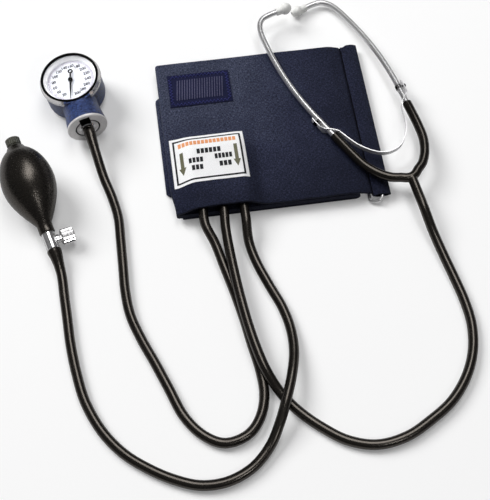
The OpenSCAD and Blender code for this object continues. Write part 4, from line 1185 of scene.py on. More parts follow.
@dataclass
class Hoses:
    """The three rubber hoses: gauge to cuff, bulb to cuff and yoke to chestpiece, in millimetres.

    A boot is a list of places along its hose's points, each with the boot's radius there.
    """

    diameter: float = 7.5
    lie: float = 3.75
    mouth_y: float = -83.0
    port_y: float = -68.15
    gauge_boot: tuple[Pair, ...] = (
        (0.06, 4.75), (0.3, 4.72), (0.6, 4.66), (1.0, 4.5), (1.15, 4.3), (1.3, 4.15), (1.45, 4.0),
        (1.6, 3.86))
    bulb_boot: tuple[Pair, ...] = (
        (0.01, 5.35), (0.12, 5.6), (0.4, 5.5), (0.8, 5.0), (1.1, 4.5), (1.3, 4.2), (1.5, 4.0), (1.7, 3.86))

    def gauge_route(self) -> list[Vector]:
        """Points of the hose from the gauge to the cuff, in millimetres."""
        table = [
            (-139, -29, 13), (-133, -46, 8), (-126, -62, 4.8), (-120, -80, 0), (-117, -100, 0),
            (-114, -122, 0), (-111, -144, 0), (-106, -164, 0), (-97, -183, 0), (-86, -202, 0),
            (-75, -222, 0), (-64, -242, 0), (-50, -256, 0), (-34, -262, 0), (-18, -256, 0), (-9, -243, 0),
            (-6, -226, 0), (-9, -207, 0), (-15, -187, 0), (-21, -166, 0), (-28, -145, 4), (-36, -124, 6),
            (-43, -106, 9)]
        return [in_gauge(45.15), in_gauge(52.5), *self.on_table(table), *self.into_cuff(-63)]

    def bulb_route(self) -> list[Vector]:
        """Points of the hose from the bulb's valve to the cuff, in millimetres."""
        table = [
            (-160, -132, 5), (-157, -148, 0), (-153, -168, 0), (-149, -188, 0), (-143, -210, 0),
            (-135, -232, 0), (-122, -253, 0), (-106, -269, 0), (-88, -280, 0), (-69, -288, 0),
            (-50, -292, 0), (-31, -289, 0), (-14, -279, 0), (-2, -264, 5), (5, -248, 9.4), (10, -231, 12.6),
            (14, -213, 11), (16, -194, 7.4), (14, -175, 4.6), (8, -157, 0), (-1, -140, 0), (-11, -120, 4.4),
            (-17, -103, 7.2)]
        return [in_bulb(58.65), in_bulb(66.0), *self.on_table(table), *self.into_cuff(-31)]

    def chest_route(self) -> list[Vector]:
        """Points of the hose from the chestpiece to the yoke's stem, in millimetres."""
        table = [
            (-35, -94, 11.8), (-32, -112, 11.5), (-28, -132, 11.5), (-23.5, -152, 11.5), (-18, -173, 11.6),
            (-12, -192, 11.6), (-4.5, -210, 10), (5.5, -225, 5.4), (18, -238, 0), (34, -250, 0),
            (53, -260, 0), (74, -263, 0), (95, -257, 0), (113, -245, 0), (129, -231, 0), (141, -213, 0),
            (148, -193, 0), (149.5, -172, 0), (146, -152, 0), (140, -133, 4.2), (133, -114, 6),
            (126, -95, 9.2)]
        return [in_cuff(-47, -59.15), in_cuff(-47, -74), *self.on_table(table), in_stem(28.4), in_stem(13.55)]

    def on_table(self, points: list[Point]) -> list[Vector]:
        """The same points, each with a height of 0 raised to lie on the table."""
        return [Vector((x, y, z or self.lie)) for x, y, z in points]

    def into_cuff(self, x: float) -> list[Vector]:
        """The last two points of an air hose, through the cuff's mouth to the bladder's port."""
        return [in_cuff(x, self.mouth_y), in_cuff(x, self.port_y)]

    def hose(self, name: str, route: list[Vector]) -> bpy.types.Object:
        """One hose as a round curve.

        Args:
            name: The CAD node that it stands for.
            route: Its points, in millimetres.

        Returns:
            The hose.
        """
        data = line_curve([p * MM for p in route])
        data.bevel_depth = self.diameter / 2 * MM
        data.bevel_resolution = 7
        data.resolution_u = data.render_resolution_u = 8
        data.use_fill_caps = True
        data.materials.append(HOSE_RUBBER.material())
        obj = linked(name + "_rubber", data)
        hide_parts(name)
        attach(obj, Body.KIT.value)
        return obj

    def boot(
            self, name: str, route: list[Vector], radii: tuple[Pair, ...],
            stands_for: tuple[str, ...] = ()) -> bpy.types.Object:
        """A flared end of a hose, which narrows to the hose as a strain relief.

        Args:
            name: The piece's name.
            route: The hose's points, in millimetres.
            radii: Places along the route's points, each with the boot's radius there.
            stands_for: The CAD nodes that it replaces.

        Returns:
            The boot.
        """
        largest = max(r for _, r in radii)
        obj = swept([on_line(route, a) for a, _ in radii], [r / largest for _, r in radii], largest, 7, 10)
        return finished(obj, name, TABLE, HOSE_RUBBER.material(), Body.KIT, stands_for, 60)

    def build(self) -> None:
        """Builds the boots and the hoses."""
        self.boot("gauge_hose_boot", self.gauge_route(), self.gauge_boot)
        self.boot("bulb_hose_boot", self.bulb_route(), self.bulb_boot, ("hose_sleeve",))
        self.hose("gauge_hose", self.gauge_route())
        self.hose("bulb_hose", self.bulb_route())
        self.hose("chest_hose", self.chest_route())


# Cuff


@dataclass
class Cuff:
    """The cuff, folded in three, with its label, hook field, loop field and hem, in millimetres."""

    length: float = 174.0
    width: float = 150.0
    ply: float = 2.4
    loop: float = 0.8
    pouch: float = 5.2
    gap: float = 0.3
    inset: float = 4.0
    swell_h: float = 7.6
    swell_x: float = -47.0
    swell_reach: float = 36.0
    swell_back: Pair = (7.0, 26.0)
    droop: float = 4.4
    slope: float = 18.0
    broad_wave: Pair = (34.0, 46.0)
    fine_wave: Pair = (13.0, 21.0)
    front_waves: Pair = (-40.0, 25.0)
    end_waves: Pair = (20.0, 50.0)
    front_in: float = 2.6
    front_from: float = -44.0
    front_over: float = 24.0
    tongue: float = 8.0
    tongue_y: Pair = (-47.0, 52.0)
    tongue_over: Pair = (5.0, 8.0)
    front: float = 70.6
    hem_x: float = 72.2
    bar: Pair = (80.0, 5.8)
    crease_x: float = 72.6
    hem_y: Pair = (-72.6, 74.7)
    single_from: float = 68.8
    single_over: float = 1.2
    shift: float = 1.8
    shift_from: float = 64.0
    shift_over: float = 10.0
    hook_at: Pair = (-78.0, 30.0)
    hook_size: Pair = (52.0, 32.0)
    hook_lift: float = 0.02
    cell: float = 2.0
    loop_low: Pair = (-75.0, -67.0)
    loop_high: Pair = (51.0, 67.0)
    label_x: Pair = (-83.0, -23.0)
    label_y: Pair = (-48.0, -2.0)
    label_lift: float = 0.03
    label_ply: float = 0.35
    ink_lift: float = 0.46
    ink_h: float = 0.04

    def __post_init__(self) -> None:
        """Works out the heights of the runs."""
        self.bottom_z = self.loop
        self.pouch_z = self.bottom_z + self.ply + self.gap
        self.top_z = self.pouch_z + self.pouch + self.gap
        self.fold_x = self.length / 2 - 24.0

    def top(self, x: float, y: float) -> float:
        """Height of the cuff's top surface, swell and wrinkles included."""
        back, fall = self.swell_back
        across = ease((self.swell_reach - abs(x - self.swell_x)) / self.slope)
        swell = self.swell_h * across * ease((back - y) / fall)
        swell -= self.droop * ease((x - self.fold_x + self.inset) / self.slope)
        return self.top_z + self.ply + swell + self.wrinkle(x, y)

    def wrinkle(self, x: float, y: float) -> float:
        """Small waves of the cloth, stronger near the front edge and the right-hand end."""
        broad_h, fine_h, front_h, end_h = 0.35, 0.14, 0.75, 0.25
        broad = noise.noise(Vector((x / self.broad_wave[0], y / self.broad_wave[1], 3.1)))
        fine = noise.noise(Vector((x / self.fine_wave[0], y / self.fine_wave[1], 7.7)))
        near_front = ease((self.front_waves[0] - y) / self.front_waves[1])
        near_end = ease((x - self.end_waves[0]) / self.end_waves[1])
        return broad_h * broad + (fine_h + front_h * near_front + end_h * near_end) * fine

    def ring(self, y: float, thin: float) -> list[tuple[float, float, float]]:
        """Outline of the folded band at one place across, with each point's distance along the cloth.

        Args:
            y: The place across the cuff.
            thin: How far the cloth's faces draw in there, in millimetres, for a rounded edge.

        Returns:
            Points (x, z, distance), round the section.
        """
        half, inset, runs, cells, nip, dip = self.length / 2, self.inset, 24, 110, 0.3, 1.1
        xs = [self.hem_x - (self.hem_x + half - inset) * i / cells for i in range(cells + 1)]
        fold_r = (self.top_z + self.ply - self.pouch_z) / 2
        under_r = (self.pouch_z + self.pouch - self.bottom_z) / 2
        drawn_in = self.front_in * ease((self.front_from - y) / self.front_over)
        starts, ends = (ease((at - y) / over) for at, over in zip(self.tongue_y, self.tongue_over))
        out_by = self.tongue * ends * (1.0 - starts)
        left = (-half + inset + drawn_in, self.pouch_z + fold_r)
        right = (self.fold_x - inset, self.bottom_z + under_r)
        edge = (-half + 6 + drawn_in - out_by, self.bottom_z + self.ply / 2)

        def run(x0: float, x1: float, z: float, first: int = 0) -> list[Pair]:
            """Points of a straight run, with the first number 0 at x0 or 1 past it."""
            return [(x0 + (x1 - x0) * (i + first) / runs, z) for i in range(runs)]

        out = [(x, self.top(x, y) - thin - dip * ease((x - self.hem_x + 1.6) / 1.6)) for x in xs]
        out += arc(left, fold_r - thin, range(100, 261, 10), (0.6, 0.8))
        out += run(left[0], right[0], self.pouch_z + thin)
        out += [(right[0] + nip, self.pouch_z - self.gap / 2)]
        out += run(right[0], edge[0], self.bottom_z + self.ply - thin)
        out += arc(edge, self.ply / 2 - thin, range(110, 251, 35))
        out += run(edge[0], right[0], self.bottom_z + thin, 1)
        out += arc(right, under_r - thin, range(-80, 81, 10))
        out += run(right[0], left[0], self.pouch_z + self.pouch - thin)
        out += [(left[0] - nip, self.top_z - self.gap / 2)]
        out += [(x, self.top(x, y) - self.ply + thin) for x in reversed(xs)]
        far, dist = 0.0, []
        for a, b in zip([out[0]] + out, out):
            far += math.hypot(b[0] - a[0], b[1] - a[1])
            dist.append(far)
        return [(x, z, d) for (x, z), d in zip(out, dist)]

    def band(self) -> bpy.types.Object:
        """The cloth itself, one closed band folded in three.

        Returns:
            The band.
        """
        half, margin, steps = self.width / 2, 2.5, 72
        ends = [(0.0, 0.3), (0.1, 0.12), (0.35, 0.02), (0.8, 0.0)]
        span = self.front + half - 2 * margin
        rows = [(-self.front + d, t) for d, t in ends]
        rows += [(-self.front + margin + span * i / steps, 0.0) for i in range(steps + 1)]
        rows += [(half - d, t) for d, t in reversed(ends)]
        rings = [[(x, y, z, d) for x, z, d in self.ring(y, t)] for y, t in rows]
        count, last = len(rings[0]), len(rings) - 1
        faces = loft(len(rings), count)
        faces += [tuple(range(count))[::-1], tuple(last * count + j for j in range(count))]
        obj = from_faces("cuff_band", [(x, y, z) for ring in rings for x, y, z, _ in ring], faces)
        keep_thread(obj, [(d, y) for ring in rings for _, y, _, d in ring])
        return finished(obj, "cuff_band", CUFF, NYLON.material(), Body.KIT, ("cuff_cloth",), 50)

    def hem_half(self, x: float) -> float:
        """Half the hem's height along the cuff: flat at the crease, full over the bar, round at the end."""
        flat, full, nose, fall_x = 0.9, 2.5, 1.2, 82.0
        nose_x = self.length / 2 - nose
        if x >= nose_x:
            return math.sqrt(max(0.0, nose ** 2 - (x - nose_x) ** 2))
        if x > fall_x:
            return full - (full - nose) * ((x - fall_x) / (nose_x - fall_x)) ** 1.6
        return flat + (full - flat) * ease((x - self.crease_x) / 5.0)

    def hem(self) -> bpy.types.Object:
        """The hem: one ply folded round the ring's bar, and single where the ring's back end leaves it.

        At the front it ends short of the ring's leg. At the back its outer side reaches a little farther
        than the crease, and its last few millimetres are a single ply that lies over the ring's end.

        Returns:
            The hem.
        """
        bar_x, bar_z = self.bar
        wall, lift, least, broad_h, fine_h = 0.9, 1.42, 0.1, 0.06, 0.05
        core_x = (74.0, 85.6)
        xs = [self.crease_x, 73.4, 74.2, *range(75, 86), 85.8, 86.3, 86.7, 86.95]
        rows = [self.hem_y[0], -72.1, -71.2, -70.2, *(-69 + 137 * i / 60 for i in range(61))]
        rows += [*range(69, 75), self.hem_y[1]]
        count = 2 * len(xs)
        outer, inner, places = [], [], []
        for y in rows:
            open_end = ease((y - self.single_from) / self.single_over)
            broad, fine = (noise.noise(Vector(at)) for at in ((2.0, y / 9, 1.0), (5.0, y / 3.1, 4.0)))
            puff = 1.0 + broad_h * broad + fine_h * fine
            shift = self.shift * ease((y - self.shift_from) / self.shift_over)
            top, bottom, hollow_top, hollow_bottom = [], [], [], []
            for x in xs:
                half = self.hem_half(x) * puff
                single = open_end * ease((bar_x + 2.2 - x) / 1.0)
                up = max(half, single * (lift + wall))
                down = (1 - single) * -half + single * lift
                if x > 86:
                    down = min(down, up)
                at_y = y + shift * ease((x - 74.5) / 4)
                core = min(max(x, core_x[0]), core_x[1])
                room = max(self.hem_half(core) - wall, least)
                high = (1 - single) * room + single * (up - 0.3 * wall)
                low = (1 - single) * -room + single * (up - 0.7 * wall)
                top.append((x, at_y, bar_z + up))
                bottom.append((x, at_y, bar_z + down))
                hollow_top.append((core, at_y, bar_z + high))
                hollow_bottom.append((core, at_y, bar_z + low))
            outer += top + bottom[::-1]
            inner += hollow_top + hollow_bottom[::-1]
            places += [(self.hem_x - x, y) for x in xs] + [(x - 2 * self.length, y) for x in reversed(xs)]
        faces, lap = loft(len(rows), count), len(rows) * count
        faces += [(lap + a, lap + d, lap + c, lap + b) for a, b, c, d in faces]
        last = (len(rows) - 1) * count
        for j in range(count):
            k = (j + 1) % count
            faces.append((j, lap + j, lap + k, k))
            faces.append((last + j, last + k, lap + last + k, lap + last + j))
        obj = from_faces("dring_hem", outer + inner, faces)
        keep_thread(obj, places + places)
        return finished(obj, "dring_hem", CUFF, NYLON.material(), Body.KIT, ("dring_sleeve",), 50)

    def seam(self) -> None:
        """A near-black line in the crease between the top run and the hem: painted shadow, for the crease's
        shade.
        """
        radius, wander = 0.8, 0.3
        x, z = self.hem_x + 0.2, self.bar[1] + 0.4
        line = [
            Vector((x + wander * noise.noise(Vector((8.0, y / 17, 0.0))), y, z))
            for y in (*range(-72, 73, 4), self.hem_y[1])]
        # This rod is painted shadow along the crease.
        thread = swept(line, None, radius, 2, 3)
        finished(thread, "hem_crease_shadow", CUFF, CREASE_SHADOW_BLACK.material(), Body.KIT, smooth=60)

    def patch(
            self, name: str, outline: list[Pair], lift: float, step: float,
            hole: list[Pair] | None = None) -> bpy.types.Object:
        """A flat shape that follows the top surface, cut small enough to bend with it.

        Args:
            name: The object's name.
            outline: Its corners, in the cuff's plane.
            lift: Its height over the top surface.
            step: The size of the cells that it is cut in.
            hole: The corners of a hole, as many as the outline has, or None.

        Returns:
            The bent sheet, one layer thick.
        """
        mesh = bmesh.new()
        ring = [mesh.verts.new((x, y, 0.0)) for x, y in outline]
        if hole:
            inner = [mesh.verts.new((x, y, 0.0)) for x, y in hole]
            for i in range(len(ring)):
                k = (i + 1) % len(ring)
                mesh.faces.new((ring[i], ring[k], inner[k], inner[i]))
        else:
            mesh.faces.new(ring)
        xs, ys = [x for x, _ in outline], [y for _, y in outline]
        for low, high, normal in ((min(xs), max(xs), (1, 0, 0)), (min(ys), max(ys), (0, 1, 0))):
            place = (math.floor(low / step) + 1) * step
            while place < high:
                bmesh.ops.bisect_plane(
                    mesh, geom=mesh.verts[:] + mesh.edges[:] + mesh.faces[:],
                    plane_co=(place, place, 0), plane_no=normal)
                place += step
        for v in mesh.verts:
            v.co.z = self.top(v.co.x, v.co.y) + lift
        bmesh.ops.recalc_face_normals(mesh, faces=mesh.faces)
        if sum(f.normal.z for f in mesh.faces) < 0:
            bmesh.ops.reverse_faces(mesh, faces=mesh.faces)
        data = bpy.data.meshes.new(name)
        mesh.to_mesh(data)
        mesh.free()
        obj = linked(name, data)
        keep_flat_thread(obj)
        return obj

    def label(self) -> None:
        """The white sewn label with its printed border, bars and arrows."""
        (x0, x1), (y0, y1) = self.label_x, self.label_y
        sheet = self.patch("sewn_label", rectangle((x0, y0), (x1, y1)), self.label_lift, self.cell)
        thicken(sheet, self.label_ply)
        finished(sheet, "sewn_label", CUFF, LABEL_WHITE.material(), Body.KIT, ("cuff_label",), 50)
        w, h = x1 - x0, y1 - y0
        edge, rule, filled = 2.3, 1.5, 0.78
        inside = edge + rule

        def spot(u: float, v: float) -> Pair:
            """The point at these shares of the label's width and height."""
            return x0 + u * w, y0 + v * h

        def blocks(u0: float, u1: float, v0: float, v1: float, count: int) -> list[tuple[list[Pair], None]]:
            """A row of plain blocks between two shares of the width, at two shares of the height."""
            pitch = (u1 - u0) / count
            starts = [u0 + i * pitch for i in range(count)]
            ends = [u0 + (i + filled) * pitch for i in range(count)]
            return [(rectangle(spot(a, v0), spot(b, v1)), None) for a, b in zip(starts, ends)]

        frame_out = rectangle((x0 + edge, y0 + edge), (x1 - edge, y1 - edge))
        frame_in = rectangle((x0 + inside, y0 + inside), (x1 - inside, y1 - inside))
        self.print("label_border", [(frame_out, frame_in)], INK_BLACK)
        self.print("label_title_blocks", blocks(0.11, 0.90, 0.77, 0.87, 15), INK_ORANGE)
        self.print("label_text_blocks", [
            *blocks(0.35, 0.68, 0.56, 0.66, 6), *blocks(0.23, 0.43, 0.39, 0.49, 4),
            *blocks(0.26, 0.42, 0.24, 0.34, 3), *blocks(0.58, 0.82, 0.42, 0.52, 5),
            *blocks(0.63, 0.80, 0.26, 0.36, 3)], INK_BLACK)
        arrows = [(self.arrow(*spot(u, v), 0.46 * h), None) for u, v in ((0.14, 0.66), (0.87, 0.68))]
        self.print("label_arrows", arrows, INK_OLIVE)

    def arrow(self, x: float, y: float, size: float) -> list[Pair]:
        """Corners of an arrow that points to the cuff's front edge.

        Args:
            x: Its middle.
            y: Its tail's end.
            size: Its length.

        Returns:
            The corners.
        """
        shaft, head, neck = 1.4, 2.9, y - size * 0.68
        return [(x - shaft, y), (x - shaft, neck), (x - head, neck), (x, y - size), (x + head, neck),
                (x + shaft, neck), (x + shaft, y)]

    def print(self, name: str, shapes: list[tuple[list[Pair], list[Pair] | None]], ink: Finish) -> None:
        """Prints flat shapes of one ink on the label.

        Args:
            name: The piece's name.
            shapes: Outlines, each with its hole or None.
            ink: The ink's finish.
        """
        parts = [self.patch(name, outline, self.ink_lift, self.cell, hole) for outline, hole in shapes]
        for part in parts:
            thicken(part, self.ink_h)
        select(*parts)
        if len(parts) > 1:
            bpy.ops.object.join()
        finished(parts[0], name, CUFF, ink.material(), Body.KIT, smooth=50)

    def hook_field(self) -> None:
        """The hook field: a sewn base, raised ribs and a zigzag seam round it."""
        (x0, y0), (w, d) = self.hook_at, self.hook_size
        base_h = 0.7
        base = self.patch("hook_base", rectangle((x0, y0), (x0 + w, y0 + d)), self.hook_lift, self.cell)
        thicken(base, base_h)
        finished(base, "hook_base", CUFF, HOOK_BASE.material(), Body.KIT, ("hook_patch",), 50)
        count, margin, lean, half, rib_h = 19, 6.0, 2.2, 0.4, 0.5
        ribs = []
        for i in range(count):
            x = x0 + margin + (w - 2 * margin - lean) * i / (count - 1)
            ribs.append(self.patch("rib", [
                (x - half, y0 + margin), (x + half, y0 + margin), (x + half + lean, y0 + d - margin),
                (x - half + lean, y0 + d - margin)], base_h, 3.0))
        for rib in ribs:
            thicken(rib, rib_h)
        select(*ribs)
        bpy.ops.object.join()
        finished(ribs[0], "hook_ribs", CUFF, HOOK_RIB_HIGHLIGHT.material(), Body.KIT, smooth=50)
        self.zigzag("hook_seam", x0, y0, w, d)

    def zigzag(self, name: str, x0: float, y0: float, w: float, d: float) -> None:
        """A zigzag seam just inside a rectangle's edge.

        Args:
            name: The piece's name.
            x0: The rectangle's left side.
            y0: The rectangle's front side.
            w: Its width.
            d: Its depth.
        """
        near, far, pitch, lift, radius = 1.0, 3.2, 1.5, 0.86, 0.38
        line = []
        sides = [((x0, y0), (1, 0), (0, 1), w), ((x0 + w, y0), (0, 1), (-1, 0), d),
                 ((x0 + w, y0 + d), (-1, 0), (0, -1), w), ((x0, y0 + d), (0, -1), (1, 0), d)]
        for (cx, cy), (ax, ay), (nx, ny), span in sides:
            steps = int((span - 2 * far) / pitch)
            for i in range(steps + 1):
                run = far + (span - 2 * far) * i / steps
                out = near if i % 2 else far
                x, y = cx + ax * run + nx * out, cy + ay * run + ny * out
                line.append(Vector((x, y, self.top(x, y) + lift)))
        line.append(line[0])
        data = bpy.data.curves.new(name, "CURVE")
        data.dimensions = "3D"
        spline = data.splines.new("POLY")
        spline.points.add(len(line) - 1)
        for knot, p in zip(spline.points, line):
            knot.co = (*p, 1.0)
        data.bevel_depth = radius
        data.bevel_resolution = 1
        obj = meshed(data, name)
        keep_flat_thread(obj)
        finished(obj, name, CUFF, HOOK_THREAD.material(), Body.KIT, smooth=80)

    def loop_field(self) -> None:
        """The loop field on the cuff's underside."""
        (x0, y0), (x1, y1), thick = self.loop_low, self.loop_high, 0.78
        bpy.ops.object.select_all(action="DESELECT")
        bpy.ops.mesh.primitive_cube_add(
            size=1.0, location=((x0 + x1) / 2, (y0 + y1) / 2, thick / 2), scale=(x1 - x0, y1 - y0, thick))
        obj = bpy.context.object
        bpy.ops.object.transform_apply(location=True, scale=True)
        bpy.ops.object.mode_set(mode="EDIT")
        bpy.ops.mesh.select_all(action="SELECT")
        bpy.ops.mesh.subdivide(number_cuts=3)
        bpy.ops.mesh.bevel(offset=0.2, segments=2, affect="EDGES")
        bpy.ops.object.mode_set(mode="OBJECT")
        keep_flat_thread(obj)
        finished(obj, "loop_field", CUFF, LOOP_PILE.material(), Body.KIT, ("loop_patch",), 50)

    def build(self) -> None:
        """Builds the cuff and dresses its ring and bladder."""
        band = self.band()
        hem = self.hem()
        # The painted shadow in the hem's crease.
        self.seam()
        self.label()
        self.hook_field()
        self.loop_field()
        dress("dring", BRIGHT_CHROME.material())
        dress("cuff_bladder", BLADDER.material())
        dress("bladder_ports", BLADDER.material())


# Gauge


@dataclass
class Gauge:
    """The gauge head, its dial artwork and its movement, in millimetres and degrees."""

    dial_z: float = 8.42
    needle_z: float = 9.8
    top_value: int = 300
    number_every: int = 20
    number_r: float = 14.2
    number_size: float = 3.6
    number_h: float = 0.03
    number_bold: float = 0.16
    tick_in: float = 17.2
    tick_out: float = 18.8
    long_by: float = 0.8
    long_w: float = 0.34
    short_w: float = 0.2
    ink_h: float = 0.05
    tick_lift: float = 0.02
    line_w: float = 0.25
    facets: int = 120
    zero_deg: float = 255.0
    step_deg: float = 1.125

    def angle(self, value: float) -> float:
        """The dial angle of a pressure, in radians."""
        return math.radians(self.zero_deg - self.step_deg * value)

    def ticks(self) -> None:
        """The ring of ticks: one bar modelled, copied and turned to each place, long ones at the tens."""
        bars = []
        for value in range(0, self.top_value + 1, 2):
            long = value % self.number_every == 0
            width = self.long_w if long else self.short_w
            inner = self.tick_in - (self.long_by if long else 0.0)
            a = self.angle(value)
            mid = (inner + self.tick_out) / 2
            if not bars:
                bpy.ops.object.select_all(action="DESELECT")
                bpy.ops.mesh.primitive_cube_add(size=1.0)
                bar = bpy.context.object
            else:
                bar = copied(bars[0])
            bar.location = (mid * math.cos(a), mid * math.sin(a), self.dial_z + self.tick_lift)
            bar.rotation_euler = (0.0, 0.0, a)
            bar.scale = (self.tick_out - inner, width, self.ink_h)
            bars.append(bar)
        select(*bars)
        bpy.ops.object.transform_apply(location=True, rotation=True, scale=True)
        bpy.ops.object.join()
        finished(bars[0], "dial_ticks", GAUGE, DIAL_LILAC.material(), Body.KIT, smooth=20)

    def band(self) -> None:
        """The thin printed ring outside the ticks."""
        low, high = self.dial_z, self.dial_z + self.ink_h
        ring = turned(rectangle((self.tick_out, low), (self.tick_out + self.line_w, high)), self.facets)
        finished(ring, "dial_ring_line", GAUGE, DIAL_LILAC.material(), Body.KIT, smooth=20)

    def flange(self) -> None:
        """The sloping white ring between the dial and the crystal, given painted light: a paler white than the
        dial.
        """
        low, high, foot, wall, lip = self.dial_z - 0.01, self.dial_z + 2.7, 20.2, 22.45, 0.25
        ring = turned([(foot, low), (wall, low), (wall, high), (wall - lip, high)], self.facets)
        finished(ring, "dial_flange", GAUGE, FLANGE_PAINTED_LIGHT.material(), Body.KIT, smooth=30)

    def numbers(self) -> None:
        """The numbers from 20 to 300, upright in the gauge's own frame."""
        texts, radius = [], self.number_r
        for value in range(self.number_every, self.top_value + 1, self.number_every):
            a = self.angle(value)
            bpy.ops.object.select_all(action="DESELECT")
            bpy.ops.object.text_add(location=(radius * math.cos(a), radius * math.sin(a), self.dial_z + 0.01))
            text = bpy.context.object
            text.data.body = str(value)
            text.data.size = self.number_size
            text.data.align_x, text.data.align_y = "CENTER", "CENTER"
            text.data.extrude = self.number_h
            text.data.offset = self.number_bold
            text.data.resolution_u = 3
            texts.append(text)
        select(*texts)
        bpy.ops.object.convert(target="MESH")
        bpy.ops.object.join()
        finished(bpy.context.object, "dial_numbers", GAUGE, DIAL_GREY.material(), Body.KIT, smooth=20)

    def hub_cap(self) -> None:
        """The small black cap over the needle's hub and the arbor's tip."""
        low = self.needle_z + 0.92
        cap = turned([
            (0.0, low), (1.35, low), (1.35, low + 0.12), (1.1, low + 0.34), (0.6, low + 0.48),
            (0.0, low + 0.52)], 32)
        finished(cap, "needle_cap", GAUGE, NEEDLE_BLACK.material(), Body.NEEDLE, smooth=50)

    def screws(self) -> None:
        """The two countersunk screws that hold the dial to its feet, painted like it."""
        top, low, screw_x = self.dial_z + 0.005, self.dial_z - 3.0, 14.0
        screw = turned([
            (0.0, top), (1.2, top), (1.25, top - 0.05), (0.7, top - 0.5), (0.7, low), (0.0, low)], 32)
        other = copied(screw)
        for one, x in ((screw, -screw_x), (other, screw_x)):
            one.data.transform(Matrix.Translation((x, 0.0, 0.0)))
        select(screw, other)
        bpy.ops.object.join()
        finished(screw, "dial_screws_flush", GAUGE, DIAL_WHITE.material(), Body.KIT, ("dial_screws",), 30)

    def build(self) -> None:
        """Dresses the gauge's solids and prints the dial."""
        self.hub_cap()
        self.screws()
        self.ticks()
        self.band()
        self.flange()
        self.numbers()
        for node, finish in (
                ("gauge_case", ENAMEL), ("gauge_bezel", BEZEL), ("crystal_ring", GLOSS_BLACK),
                ("gauge_crystal", GlassFinish()), ("dial_plate", DIAL_WHITE), ("dial_feet", BRASS),
                ("gauge_needle", NEEDLE_BLACK), ("needle_arbor", BRASS), ("sector_gear", BRASS),
                ("sector_shaft", STEEL), ("movement_front_plate", BRASS), ("movement_back_plate", BRASS),
                ("movement_pillars", STEEL), ("hairspring", BLUED), ("push_rod", STEEL),
                ("capsule_lower", BRONZE), ("capsule_upper", BRONZE), ("end_plate", SATIN),
                ("hose_collar", CHROME), ("gauge_nipple", STEEL)):
            dress(node, finish.material())


# Bulb


@dataclass
class Bulb:
    """The hand bulb with its inlet and release valves, in millimetres."""

    radius: float = 21.0
    back: float = 30.0
    front: float = 36.5
    neck_r: float = 6.0
    neck_len: float = 8.0
    wall: float = 2.2
    inlet_r: float = 5.2
    round_by: float = 1.2

    def radius_at(self, x: float, cut: float) -> float:
        """The bulb's radius at a place along its axis, less a cut."""
        if x < 0:
            return (self.radius - cut) * math.sqrt(max(0.0, 1 - (x / (self.back + self.round_by)) ** 2))
        return self.neck_r - cut + (self.radius - self.neck_r) * math.cos(math.radians(90 * x / self.front))

    def wall_line(self, start: float, cut: float, steps: int = 40) -> list[Pair]:
        """Radius and place of points from a start to the neck, less a cut."""
        places = [start + (self.front - start) * i / steps for i in range(steps + 1)]
        return [(self.radius_at(x, cut), x) for x in places]

    def shell(self) -> None:
        """The rubber shell, turned outside and inside, with a rolled lip at the neck."""
        lip, bore, hole = self.front + self.neck_len, self.neck_r - self.wall, self.inlet_r - 1.9
        back, depth = -self.back - 2, -self.back + 4
        profile = [(hole, back), (self.inlet_r + 0.9, back), (self.inlet_r + 1.4, back + 0.5)]
        profile += self.wall_line(-self.back + self.round_by, 0.0)
        profile += [
            (self.neck_r, lip - 1.6), (self.neck_r + 0.12, lip - 1.2), (self.neck_r, lip - 0.4),
            (self.neck_r - 0.4, lip), (bore, lip)]
        profile += self.wall_line(depth, self.wall)[::-1] + [(hole, depth)]
        shell = turned(profile, 96, ALONG_BULB)
        finished(shell, "bulb_rubber_shell", BULB, BULB_RUBBER.material(), Body.KIT, ("bulb_shell",), 50)

    def build(self) -> None:
        """Builds the shell and dresses the valves."""
        self.shell()
        for node, finish in (
                ("inlet_valve_body", VALVE_OLIVE), ("inlet_valve_cage", STEEL), ("inlet_disc", SOFT_BLACK),
                ("outlet_seat", STEEL), ("outlet_disc", SOFT_BLACK), ("release_valve_body", VALVE_CHROME),
                ("release_screw", STEEL), ("release_knob", VALVE_CHROME), ("valve_pad", SOFT_BLACK),
                ("valve_nipple", STEEL)):
            dress(node, finish.material())


# Headset


